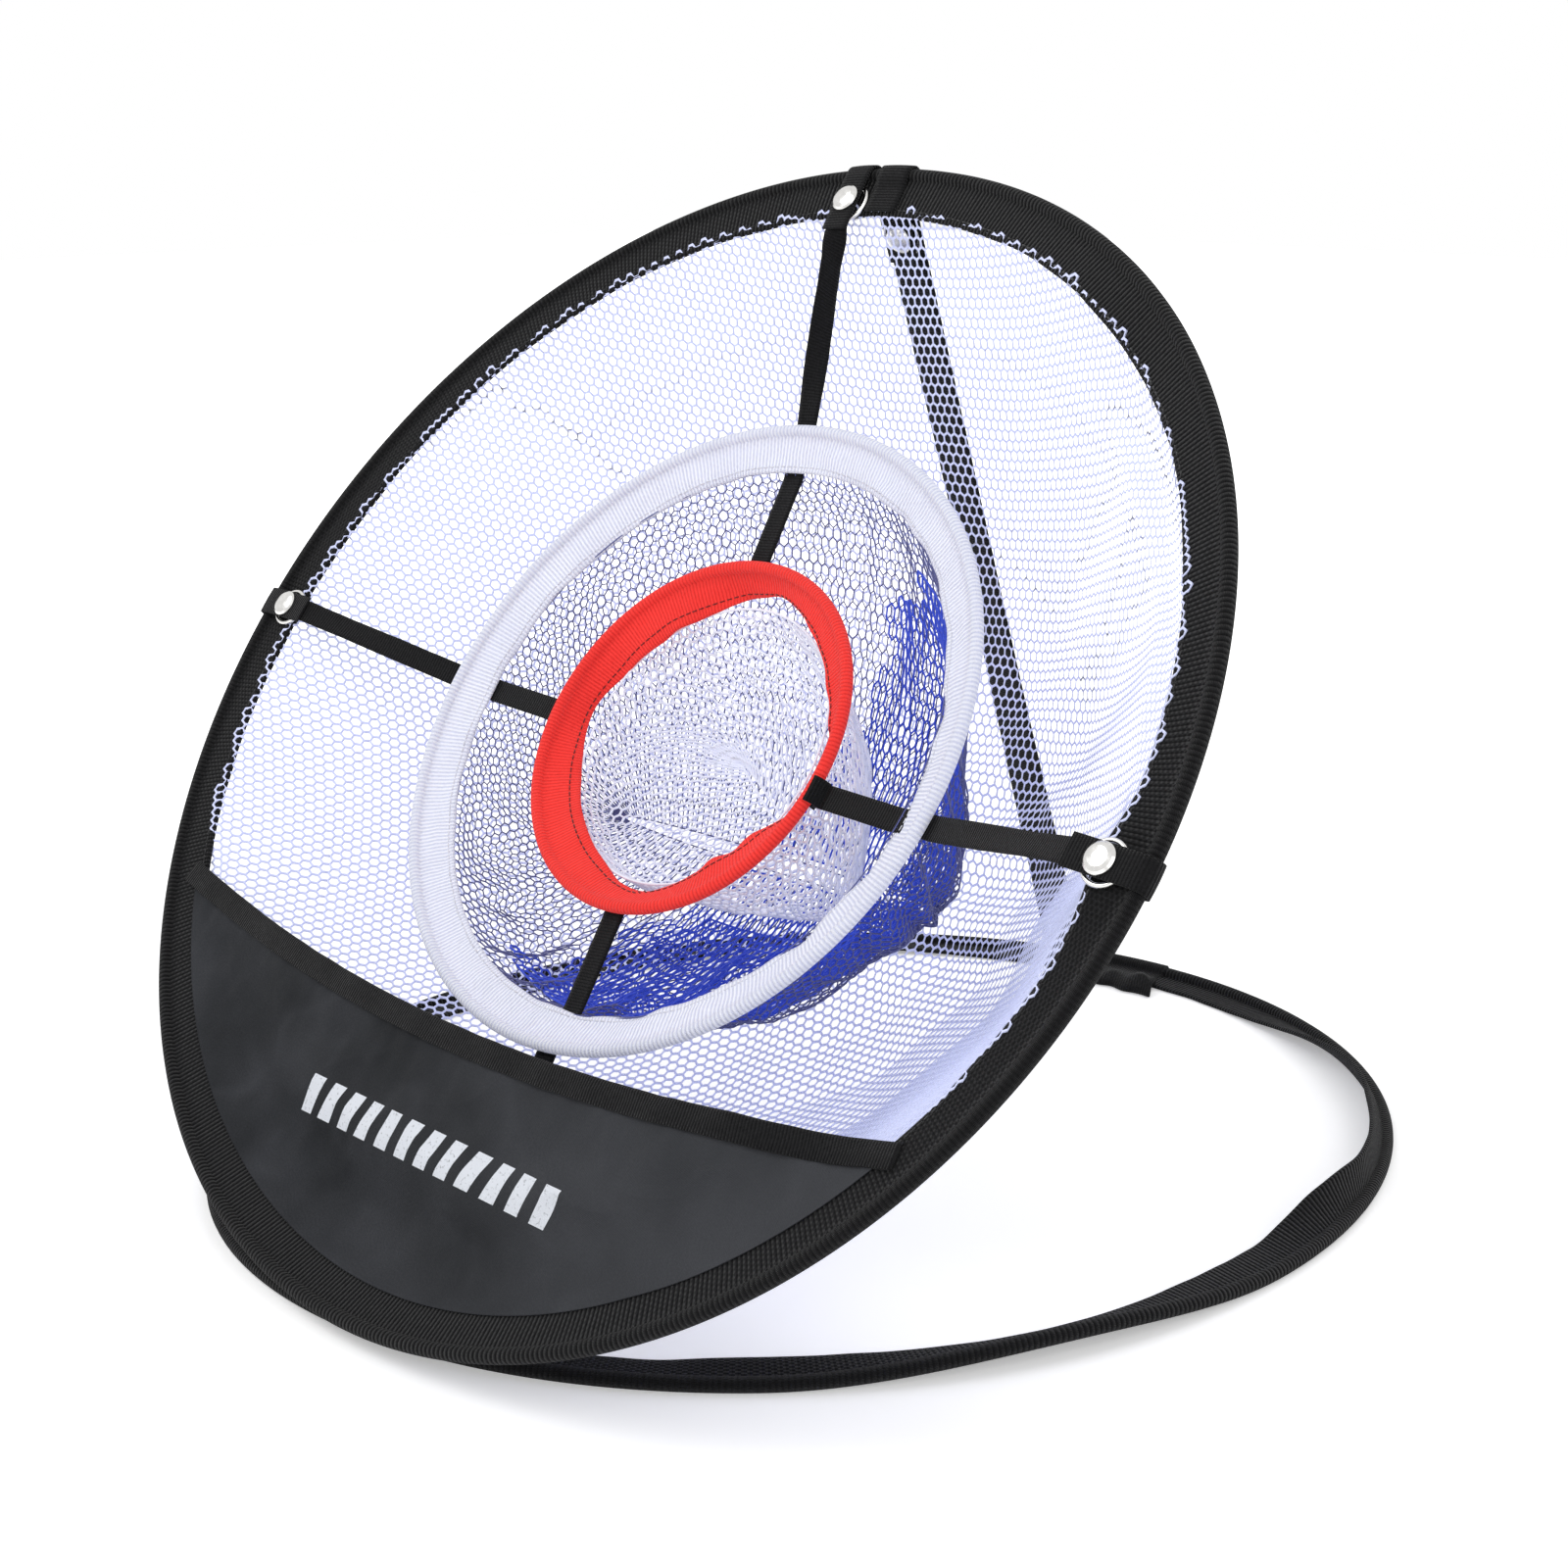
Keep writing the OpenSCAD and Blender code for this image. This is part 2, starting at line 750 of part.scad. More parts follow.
// The spine strap's line, from the back of the hoop's casing to its foot
function hoop_place(angle, r, v) =
    let (y = r * sin(angle) + wire_centre_r, z = v + hinge_lift)
    [
        r * cos(angle),
        y * cos(open_angle) - z * sin(open_angle),
        hinge_z + y * sin(open_angle) + z * cos(open_angle)
    ];
spine_high = hoop_place(spine_angle, hoop_r - casing_w + 8, -bead_r - 4);
spine_line = foot_low - spine_high;
spine_len = norm(spine_line);
spine_lean = acos(-spine_line[2] / spine_len);
spine_skew = atan2(spine_line[0], spine_line[1]);
spine_stud = 12;

// The spine's frame: Z down the strap, Y out of its back, origin at its top
module along_spine() {
    placed()
    translate(spine_high)
    rotate([0, 0, -spine_skew])
    rotate([180 + spine_lean, 0, 0])
    rotate([0, 0, 180])
    children();
}

module spine_strap() {
    color(black)
    along_spine()
    difference() {
        translate([-spine_w / 2, 0, 0]) cube([spine_w, strap_t, spine_len - 2]);
        spine_hole();
    }
}

module spine_hole() {
    translate([0, -12, spine_stud])
    rotate([-90, 0, 0]) cylinder(r = post_r + sewn_gap, h = 30);
}

// Seats along the spine's stud, in front of the strap
spine_keeper = sewn_gap + keeper_wire_r;
spine_tail = spine_keeper + keeper_wire_r + sewn_gap;
spine_cap = spine_tail + webbing_t + sewn_gap;

// The spine's stud has its cap on the side that faces the pocket
module at_spine_stud() {
    along_spine()
    translate([0, 0, spine_stud])
    rotate([90, 0, 0])
    children();
}

// Loop round the hoop's casing, with a tail pinned in front of the spine strap
module spine_loop() {
    under = bead_r + sewn_gap;
    out = hoop_r + sewn_gap;
    end = hoop_r - casing_w + 0.5;
    color(black) {
        at_angle(spine_angle)
        strip(spine_w - 4)
        polygon([
            [end, skirt_t / 2 + sewn_gap], [hoop_r - 3 * bead_r, skirt_t / 2 + sewn_gap],
            [hoop_r - 2 * bead_r, under], [out, under], [out, -under], [end, -under],
            [end, -under - webbing_t], [out + webbing_t, -under - webbing_t],
            [out + webbing_t, under + webbing_t], [hoop_r - 2 * bead_r, under + webbing_t],
            [hoop_r - 3 * bead_r, skirt_t / 2 + sewn_gap + webbing_t],
            [end, skirt_t / 2 + sewn_gap + webbing_t]
        ]);
        along_spine()
        difference() {
            translate([-spine_w / 2, -spine_tail - webbing_t, -3])
            cube([spine_w, webbing_t, 27]);
            spine_hole();
        }
    }
}

// Fittings -----------------------------------------------------------------

module post_top() { at_stud(top_angle) post_shape(post_back, post_end); }
module post_left() { at_stud(left_angle) post_shape(post_back, post_end); }
module post_right() { at_stud(right_angle) post_shape(post_back, post_end); }
module post_spine() {
    at_spine_stud() post_shape(-strap_t - sewn_gap, spine_cap + cap_h / 2);
}

module keeper_top() { at_stud(top_angle) keeper_shape(keeper_v); }
module keeper_left() { at_stud(left_angle) keeper_shape(keeper_v); }
module keeper_right() { at_stud(right_angle) keeper_shape(keeper_v); }
module keeper_spine() { at_spine_stud() keeper_shape(spine_keeper); }

module cap_top() { at_stud(top_angle) cap_shape(cap_v, post_end); }
module cap_left() { at_stud(left_angle) cap_shape(cap_v, post_end); }
module cap_right() { at_stud(right_angle) cap_shape(cap_v, post_end); }
module cap_spine() { at_spine_stud() cap_shape(spine_cap, spine_cap + cap_h / 2); }

base_wire();
base_ferrule();
base_casing();
base_sleeve();
spine_foot();
hinge_tape();
spine_strap();
hoop_wire();
hoop_ferrule();
hoop_casing();
front_panel();
panel_binding();
outer_net();
white_ring_wire();
white_ring_casing();
blue_net();
red_ring_wire();
red_ring_casing();
inner_net();
strap_top();
strap_left();
strap_right();
strap_bottom();
tab_top();
tab_left();
tab_right();
spine_loop();
post_top();
post_left();
post_right();
post_spine();
keeper_top();
keeper_left();
keeper_right();
keeper_spine();
cap_top();
cap_left();
cap_right();
cap_spine();
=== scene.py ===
"""A pop-up golf chipping net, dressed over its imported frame.

Lengths are in metres and angles in degrees. The hoop's own frame has X to the
right, Y up the hoop and Z out of its front, with its origin at its middle.
"""

import json
import logging
import math
from dataclasses import dataclass, field
from enum import Enum
from typing import Callable, Sequence

import bmesh
import bpy
from mathutils import Matrix, Vector, noise


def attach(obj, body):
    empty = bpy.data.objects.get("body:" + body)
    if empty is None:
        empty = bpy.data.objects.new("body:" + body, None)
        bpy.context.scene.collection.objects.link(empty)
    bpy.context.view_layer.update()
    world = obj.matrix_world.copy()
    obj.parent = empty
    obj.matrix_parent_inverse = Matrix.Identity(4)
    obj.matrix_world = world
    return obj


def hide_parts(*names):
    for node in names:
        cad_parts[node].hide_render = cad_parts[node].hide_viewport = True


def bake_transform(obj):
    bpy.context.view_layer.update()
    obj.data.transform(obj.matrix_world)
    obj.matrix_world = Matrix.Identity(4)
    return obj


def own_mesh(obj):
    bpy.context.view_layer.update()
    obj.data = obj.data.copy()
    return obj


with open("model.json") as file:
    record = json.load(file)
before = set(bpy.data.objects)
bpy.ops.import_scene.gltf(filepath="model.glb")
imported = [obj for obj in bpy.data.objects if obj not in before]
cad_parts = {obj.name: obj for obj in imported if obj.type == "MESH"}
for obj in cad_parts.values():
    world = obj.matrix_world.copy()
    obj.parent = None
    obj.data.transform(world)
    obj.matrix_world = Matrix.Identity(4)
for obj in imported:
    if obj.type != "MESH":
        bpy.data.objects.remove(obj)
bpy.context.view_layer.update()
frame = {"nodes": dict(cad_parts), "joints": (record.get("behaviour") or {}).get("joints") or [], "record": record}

log = logging.getLogger("chipping_net")

Place = Callable[[float, float], Vector]
Corner = Callable[[float, int], Vector]
Chart = Callable[[float, float], tuple[float, float]]
Colour = tuple[float, float, float]
Socket = bpy.types.NodeSocket
Piece = bpy.types.Object

# Points nearer to each other than this are joined.
MERGE = 0.00001
# Where a skirt has its corners, as shares of the way from the bead to its edge.
TAPE_STRIDES = (0.25, 0.5, 0.75, 0.93)
# How far the corners of a net's cells stand off their row, in rows.
ZIGZAG = 1 / 6


class Body(str, Enum):
    """The two bodies that carry the soft pieces."""

    GROUND = "ground_loop"
    FRONT = "front_frame"


class Slot(str, Enum):
    """The material slots of the record."""

    SPRING = "spring_wire"
    FERRULE = "ferrule_steel"
    BLACK = "black_webbing"
    PANEL = "panel_cloth"
    WHITE_NET = "white_net"
    WHITE_TAPE = "white_tape"
    BLUE_NET = "blue_net"
    RED_TAPE = "red_tape"
    NICKEL = "nickel"


# Small sums ---------------------------------------------------------------


def sin(angle: float) -> float:
    """Sine of an angle in degrees."""
    return math.sin(math.radians(angle))


def cos(angle: float) -> float:
    """Cosine of an angle in degrees."""
    return math.cos(math.radians(angle))


def mix(a: float, b: float, share: float) -> float:
    """The value that lies a share of the way from a to b."""
    return a + (b - a) * share


def smooth(low: float, high: float, value: float) -> float:
    """0 below low, 1 above high, and a smooth rise between them."""
    t = min(max((value - low) / (high - low), 0.0), 1.0)
    return t * t * (3 - 2 * t)


def lump(angle: float, centre: float, width: float) -> float:
    """A bell of height 1 round an angle, which falls away over a width."""
    off = (angle - centre + 180) % 360 - 180
    return math.exp(-((off / width) ** 2))


def ripple(x: float, y: float, z: float = 0.0) -> float:
    """Smooth noise of about -1 to 1 at a place given in ripples."""
    return noise.noise(Vector((x, y, z)))


def ring_ripple(angle: float, count: float, other: float = 0.0) -> float:
    """Smooth noise with about a count of ripples round a ring, which meets itself."""
    reach = count / (2 * math.pi)
    return ripple(reach * cos(angle), reach * sin(angle), other)


def polar(angle: float, radius: float, height: float) -> Vector:
    """A place in a ring's own frame, from its angle, radius and height."""
    return Vector((radius * cos(angle), radius * sin(angle), height))


def along(points: Sequence[Sequence[float]], share: float, soft: bool = False) -> list[float]:
    """The place a share of the way along a list of points.

    Args:
        points: rows of numbers, the first of which is the share at each point.
        share: how far along the list, in the same unit as those first numbers.
        soft: whether it eases in and out of each point, or runs straight.

    Returns:
        The other numbers of a row at that share.
    """
    if share <= points[0][0]:
        return list(points[0][1:])
    for a, b in zip(points, points[1:]):
        if share <= b[0]:
            t = (share - a[0]) / (b[0] - a[0])
            t = (1 - cos(180 * t)) / 2 if soft else t
            return [mix(p, q, t) for p, q in zip(a[1:], b[1:])]
    return list(points[-1][1:])


# Layout -------------------------------------------------------------------


@dataclass(frozen=True)
class Layout:
    """The driving sizes that the pieces share, and the frames they lie in."""

    hoop_radius: float = 0.254
    bead: float = 0.003
    fold_gap: float = 0.0005
    open_angle: float = 52.3
    loop_half_width: float = 0.226
    loop_half_length: float = 0.261
    loop_turn: float = 19.0
    loop_offset: float = 0.007
    loop_front: float = 0.002
    target_x: float = 0.003
    target_y: float = 0.006
    hinge: Vector = field(
        default_factory=lambda: Vector(
            next(j["pos_m"] for j in frame["joints"] if j["name"] == "hoop_fold")
        )
    )

    @property
    def wire_radius(self) -> float:
        """Radius of the hoop to the middle of its wire."""
        return self.hoop_radius - self.bead

    def hoop(self) -> Matrix:
        """The hoop's frame.

        Returns:
            The matrix that carries it to the row's frame.
        """
        lift = Vector((0, self.wire_radius, self.bead + self.fold_gap))
        turn = Matrix.Rotation(math.radians(self.open_angle), 4, "X")
        return Matrix.Translation(self.hinge) @ turn @ Matrix.Translation(lift)

    def target(self) -> Matrix:
        """The frame of the two target rings, as a matrix to the row's frame."""
        return self.hoop() @ Matrix.Translation((self.target_x, self.target_y, 0))

    def normal(self) -> Vector:
        """The direction out of the front of the hoop."""
        return Vector((0, -sin(self.open_angle), cos(self.open_angle)))

    def turned(self, x: float, y: float) -> Vector:
        """A direction of the ground loop's own axes, turned to the row's."""
        turn = self.loop_turn
        return Vector((x * cos(turn) + y * sin(turn), -x * sin(turn) + y * cos(turn), 0))

    def loop_middle(self) -> Vector:
        """The middle of the ground loop.

        Returns:
            Its place on the ground.
        """
        across = self.loop_half_width * sin(self.loop_turn)
        reach = math.hypot(across, self.loop_half_length * cos(self.loop_turn))
        return Vector((-self.loop_offset, self.hinge.y + self.loop_front + reach, 0))

    def loop_point(self, phi: float) -> Vector:
        """A point under the ground loop's wire.

        Args:
            phi: the angle round the loop from its front.

        Returns:
            The point, on the ground.
        """
        x = self.loop_half_width * sin(phi)
        y = -self.loop_half_length * cos(phi)
        return self.loop_middle() + self.turned(x, y)

    def loop_inward(self, phi: float) -> Vector:
        """The direction from the ground loop's wire towards its middle.

        Args:
            phi: the angle round the loop from its front.

        Returns:
            A direction of length 1, along the ground.
        """
        x = -self.loop_half_length * sin(phi)
        y = self.loop_half_width * cos(phi)
        return self.turned(x, y).normalized()


LAYOUT = Layout()


def hoop_lean(angle: float) -> float:
    """How far the skirt of the hoop's casing leans back.

    Args:
        angle: round the hoop.

    Returns:
        The lean in degrees, most at the right and at the bottom.
    """
    turn = (angle + 180) % 360 - 180
    under_tab = lump(angle, -2.3, 5)
    right = 17 * smooth(-75, -50, turn) * smooth(62, 45, turn) * (1 - under_tab)
    bottom = 26 * lump(angle, 270, 42)
    return 3 * ring_ripple(angle, 9) + max(right, bottom)


def skirt_depth(angle: float, radius: float) -> float:
    """How far the middle of that skirt lies behind the hoop's plane."""
    return (LAYOUT.wire_radius - radius) * math.tan(math.radians(hoop_lean(angle)))


def under_panel(angle: float) -> float:
    """1 where the panel covers the hoop's skirt, and 0 where it lies bare."""
    return smooth(205, 211, angle % 360) * smooth(335, 329, angle % 360)


# Meshes -------------------------------------------------------------------


def finished(name: str, bm: bmesh.types.BMesh, flat: bool = False) -> Piece:
    """Makes an object of a bmesh and frees it.

    Args:
        name: the piece's name.
        bm: its shape, already in the row's frame.
        flat: whether its faces are shaded flat.

    Returns:
        The new object, at the origin.
    """
    mesh = bpy.data.meshes.new(name)
    bm.to_mesh(mesh)
    bm.free()
    for polygon in mesh.polygons:
        polygon.use_smooth = not flat
    piece = bpy.data.objects.new(name, mesh)
    bpy.context.scene.collection.objects.link(piece)
    return piece


def cloth_grid(
    columns: int,
    rows: int,
    place: Place,
    size: tuple[float, float],
    closed: bool = False,
    chart: Chart | None = None,
) -> bmesh.types.BMesh:
    """A grid laid where a function puts it, with a UV map in metres.

    Args:
        columns: how many faces lie along it.
        rows: how many faces lie across it.
        place: gives the point of each share along and across.
        size: the length and width that the UV map spans.
        closed: whether it is a tube, whose open ends are closed and whose
            faces are turned to point out.
        chart: gives the UV place of each share, where it isn't the plain one.

    Returns:
        The grid, with the edges that meet joined.
    """
    bm = bmesh.new()
    uv = bm.loops.layers.uv.new("UVMap")
    bmesh.ops.create_grid(bm, x_segments=columns, y_segments=rows, size=0.5)
    for face in bm.faces:
        for loop in face.loops:
            u, v = loop.vert.co.x + 0.5, loop.vert.co.y + 0.5
            loop[uv].uv = chart(u, v) if chart else (u * size[0], v * size[1])
    for vert in bm.verts:
        vert.co = place(vert.co.x + 0.5, vert.co.y + 0.5)
    bmesh.ops.remove_doubles(bm, verts=bm.verts, dist=MERGE)
    if closed:
        rims = [edge for edge in bm.edges if edge.is_boundary]
        if rims:
            bmesh.ops.holes_fill(bm, edges=rims, sides=0)
        bmesh.ops.recalc_face_normals(bm, faces=bm.faces)
    return bm


def tube(
    name: str, columns: int, rows: int, size: tuple[float, float], corner: Corner
) -> Piece:
    """A closed tube of tape, each of whose rows is a corner of its section.

    Args:
        name: the piece's name.
        columns: how many faces lie along it.
        rows: how many corners its section has.
        size: the length and the girth that the UV map spans.
        corner: gives the point of a share along the tube at a numbered corner.

    Returns:
        The tube, as an object.
    """

    def place(u: float, v: float) -> Vector:
        """A point of the tube from its shares along and round."""
        return corner(u, round(v * rows) % rows)

    return finished(name, cloth_grid(columns, rows, place, size, closed=True))


def layer(name: str, bm: bmesh.types.BMesh, thickness: float, even: bool = False) -> Piece:
    """A layer of cloth, given its thickness by a modifier.

    Args:
        name: the piece's name.
        bm: the middle of the layer.
        thickness: of the cloth.
        even: whether the thickness is kept where the cloth bends.

    Returns:
        The layer, as an object.
    """
    piece = finished(name, bm)
    solid = piece.modifiers.new("thickness", "SOLIDIFY")
    solid.thickness = thickness
    solid.offset = 0
    solid.use_even_offset = even
    return piece


def girth(section: Sequence[Vector]) -> float:
    """The way round a section."""
    return sum((a - b).length for a, b in zip(section, section[1:] + section[:1]))


def casing_section(
    width: float, bead: float, thickness: float, drop: float = 0.0, steps: int = 8
) -> list[Vector]:
    """The outline of a tape folded over a wire: a bead and the skirt behind it.

    Args:
        width: from the outside of the bead to the edge of the skirt.
        bead: radius of the bead.
        thickness: of the skirt.
        drop: how far the skirt's middle lies below the wire's.
        steps: faces round half of the bead.

    Returns:
        Points as (inward, height) from the middle of the wire, going round once.
    """
    top, low = thickness / 2 - drop, -thickness / 2 - drop
    inner = width - bead
    first = math.degrees(math.asin(top / bead))
    last = 360 + math.degrees(math.asin(max(low / bead, -1.0)))
    bead_arc = [
        Vector((bead * cos(a), bead * sin(a)))
        for a in (mix(first, last, i / (2 * steps)) for i in range(2 * steps + 1))
    ]
    back = [Vector((mix(bead * cos(last), inner, s), low)) for s in TAPE_STRIDES]
    front = [Vector((mix(bead * cos(first), inner, s), top)) for s in reversed(TAPE_STRIDES)]
    edge = [Vector((inner, mix(low, top, s))) for s in (0.2, 0.8)]
    return bead_arc + back + edge + front


def hex_grid(columns: int, rows: int, closed: bool, place: Place) -> bmesh.types.BMesh:
    """A net's cells, laid where a function puts them.

    A grid loses every other upright edge, which leaves six-sided bricks, and
    their corners then move up and down by turns until they are hexagons.

    Args:
        columns: uprights along the grid; even where it closes on itself.
        rows: rows of cells.
        closed: whether its two ends meet.
        place: gives the point of each share along and up the net.

    Returns:
        The cells, as faces.
    """
    bm = bmesh.new()
    bmesh.ops.create_grid(bm, x_segments=columns, y_segments=rows, size=0.5)
    column = bm.verts.layers.int.new("column")
    row = bm.verts.layers.int.new("row")
    for vert in bm.verts:
        i = round((vert.co.x + 0.5) * columns)
        j = round((vert.co.y + 0.5) * rows)
        vert[column] = i % columns if closed else i
        vert[row] = j
        zigzag = ZIGZAG if (i + j) % 2 == 0 else -ZIGZAG
        up = (j + zigzag) / rows if 0 < j < rows else j / rows
        vert.co = place(i / columns, up)
    if closed:
        bmesh.ops.remove_doubles(bm, verts=bm.verts, dist=MERGE)
    spare = [
        edge
        for edge in bm.edges
        if edge.verts[0][column] == edge.verts[1][column]
        and (edge.verts[0][column] + min(edge.verts[0][row], edge.verts[1][row])) % 2
        and len(edge.link_faces) == 2
    ]
    bmesh.ops.dissolve_edges(bm, edges=spare, use_verts=False)
    return bm


def knit(bm: bmesh.types.BMesh, strand: float) -> None:
    """Turns cells into a net of square strands.

    Args:
        bm: the cells.
        strand: thickness of a strand.
    """
    bmesh.ops.wireframe(
        bm,
        faces=bm.faces,
        thickness=strand,
        offset=0,
        use_replace=True,
        use_boundary=True,
        use_even_offset=False,
    )
    loose = [v for v in bm.verts if not v.link_faces]
    bmesh.ops.delete(bm, geom=loose, context="VERTS")


@dataclass(frozen=True)
class Knot:
    """A point of a strap's route, and the way that the strap faces there."""

    at: Vector
    across: Vector


def eased(route: Sequence[Knot], ease: float, steps: int) -> list[Knot]:
    """A route walked in equal steps, with its corners rounded.

    Args:
        route: the corners of the route.
        ease: how far before and after a corner the route starts to turn.
        steps: how many equal steps it is walked in.

    Returns:
        One knot for each end of a step.
    """
    lengths = [(b.at - a.at).length for a, b in zip(route, route[1:])]
    total = sum(lengths)

    def at(distance: float) -> tuple[Vector, Vector]:
        """A place on the route.

        Args:
            distance: how far along the route it lies.

        Returns:
            The point and the direction across the strap there.
        """
        for a, b, length in zip(route, route[1:], lengths):
            if distance <= length or b is route[-1]:
                share = min(max(distance / length, 0.0), 1.0)
                return a.at.lerp(b.at, share), a.across.lerp(b.across, share)
            distance -= length
        return route[-1].at, route[-1].across

    walked = []
    for i in range(steps + 1):
        middle = total * i / steps
        reach = min(ease, middle, total - middle)
        near = [at(middle + reach * k / 4) for k in range(-4, 5)]
        spot = sum((p for p, _ in near), Vector()) / len(near)
        across = sum((a for _, a in near), Vector()).normalized()
        walked.append(Knot(spot, across))
    return walked


def stitches(
    name: str,
    count: int,
    place: Callable[[float], tuple[Vector, Vector]],
    size: tuple[float, float],
) -> Piece:
    """A row of short sewn threads.

    Args:
        name: the piece's name.
        count: how many stitches.
        place: gives the middle of each share of the row and its two directions,
            as the point and the way that the thread runs.
        size: length and thickness of a stitch.

    Returns:
        The row, as one object.
    """
    bm = bmesh.new()
    for i in range(count):
        middle, way = place((i + 0.5) / count)
        turn = way.to_track_quat("X", "Z").to_matrix().to_4x4()
        shape = Matrix.Diagonal((size[0], size[1], size[1], 1))
        bmesh.ops.create_cube(bm, size=1, matrix=Matrix.Translation(middle) @ turn @ shape)
    return finished(name, bm)


# Shader groups ------------------------------------------------------------

FLOAT = "NodeSocketFloat"
COLOR = "NodeSocketColor"
VECTOR = "NodeSocketVector"
# Where nearly all of a Noise Texture's factor lies.
NOISE_SPAN = (0.3, 0.7)
# The sockets of a Mix node that hold its colours.
MIX_COLOUR_A, MIX_COLOUR_B, MIX_COLOUR_OUT = 6, 7, 2


class Nodes:
    """A short way to place and join the nodes of one tree."""

    def __init__(self, tree: bpy.types.NodeTree) -> None:
        """Keeps the tree that the nodes go into."""
        self.tree = tree

    def add(self, kind: str, **settings: object) -> bpy.types.Node:
        """Adds a node.

        Args:
            kind: the node's type.
            **settings: its properties and what they are set to.

        Returns:
            The node.
        """
        node = self.tree.nodes.new(kind)
        for key, value in settings.items():
            setattr(node, key, value)
        return node

    def feed(self, socket: Socket, value: object) -> None:
        """Joins a socket to another, or gives it a plain value.

        Args:
            socket: the socket to feed.
            value: another socket, or a number or colour.
        """
        if isinstance(value, Socket):
            self.tree.links.new(value, socket)
        else:
            socket.default_value = value

    def feed_all(self, node: bpy.types.Node, values: dict[str, object]) -> None:
        """Feeds the inputs of a node that are named."""
        for name, value in values.items():
            self.feed(node.inputs[name], value)

    def math(self, operation: str, *values: object) -> Socket:
        """Adds a Math node.

        Args:
            operation: what it works out.
            *values: what its inputs are fed with.

        Returns:
            Its result.
        """
        node = self.add("ShaderNodeMath", operation=operation)
        for socket, value in zip(node.inputs, values):
            self.feed(socket, value)
        return node.outputs[0]

    def blend(self, share: object, a: object, b: object) -> Socket:
        """Adds a node that mixes two colours.

        Args:
            share: how much there is of the second.
            a: the first colour.
            b: the second colour.

        Returns:
            The mixed colour.
        """
        node = self.add("ShaderNodeMix", data_type="RGBA")
        self.feed(node.inputs["Factor"], share)
        self.feed(node.inputs[MIX_COLOUR_A], a)
        self.feed(node.inputs[MIX_COLOUR_B], b)
        return node.outputs[MIX_COLOUR_OUT]

    def spread(self, value: object, low: float, high: float, to: tuple[float, float]) -> Socket:
        """Carries a value from one range to another and keeps it inside.

        Args:
            value: what is carried.
            low: the start of its range.
            high: the end of its range.
            to: the range that it goes to.

        Returns:
            The carried value.
        """
        node = self.add("ShaderNodeMapRange")
        for socket, item in zip(node.inputs, (value, low, high, *to)):
            self.feed(socket, item)
        return node.outputs[0]

    def noise(self, where: object, scale: object, detail: float = 2.0) -> Socket:
        """Adds a Noise Texture.

        Args:
            where: the coordinates that it reads.
            scale: how many lumps it has in a metre.
            detail: how many finer layers it has.

        Returns:
            Its factor.
        """
        node = self.add("ShaderNodeTexNoise")
        self.feed_all(node, {"Vector": where, "Scale": scale, "Detail": detail})
        return node.outputs["Fac"]

    def bump(self, height: Socket, distance: object) -> Socket:
        """Adds a Bump node.

        Args:
            height: the surface's relief, from 0 to about 1.
            distance: how tall that relief is.

        Returns:
            The normal.
        """
        node = self.add("ShaderNodeBump")
        self.feed_all(node, {"Strength": 1.0, "Distance": distance, "Height": height})
        return node.outputs[0]

    def coordinates(self, kind: str) -> Socket:
        """The surface's own coordinates of a kind."""
        return self.add("ShaderNodeTexCoord").outputs[kind]

    def uv(self) -> tuple[Socket, Socket, Socket]:
        """The piece's own UV map.

        Returns:
            The whole place, and how far along and how far across it lies.
        """
        where = self.coordinates("UV")
        apart = self.add("ShaderNodeSeparateXYZ")
        self.feed(apart.inputs[0], where)
        return where, apart.outputs["X"], apart.outputs["Y"]

    def turns(self, value: object, pitch: object) -> Socket:
        """An angle that goes round once in each pitch."""
        return self.math("MULTIPLY", self.math("DIVIDE", value, pitch), 2 * math.pi)


def background_rays(n: Nodes) -> Socket:
    """Tells the rays that show the background: straight, mirrored or through glass.

    Args:
        n: the nodes of the floor or the world.

    Returns:
        1 for such a ray, and 0 for the rest.
    """
    rays = n.add("ShaderNodeLightPath").outputs
    mirrored = n.math("MAXIMUM", rays["Is Glossy Ray"], rays["Is Transmission Ray"])
    return n.math("MAXIMUM", rays["Is Camera Ray"], mirrored)


def new_group(
    name: str, inputs: dict[str, str]
) -> tuple[Nodes, bpy.types.bpy_prop_collection, bpy.types.Node]:
    """An empty shader node group that gives a surface's look.

    Args:
        name: the group's name.
        inputs: the kind of each of its inputs.

    Returns:
        Its nodes, what it is given, and the node that its results go to.
    """
    tree = bpy.data.node_groups.new(name, "ShaderNodeTree")
    for label, kind in inputs.items():
        tree.interface.new_socket(name=label, in_out="INPUT", socket_type=kind)
    for label, kind in {"Color": COLOR, "Roughness": FLOAT, "Normal": VECTOR}.items():
        tree.interface.new_socket(name=label, in_out="OUTPUT", socket_type=kind)
    n = Nodes(tree)
    return n, n.add("NodeGroupInput").outputs, n.add("NodeGroupOutput")


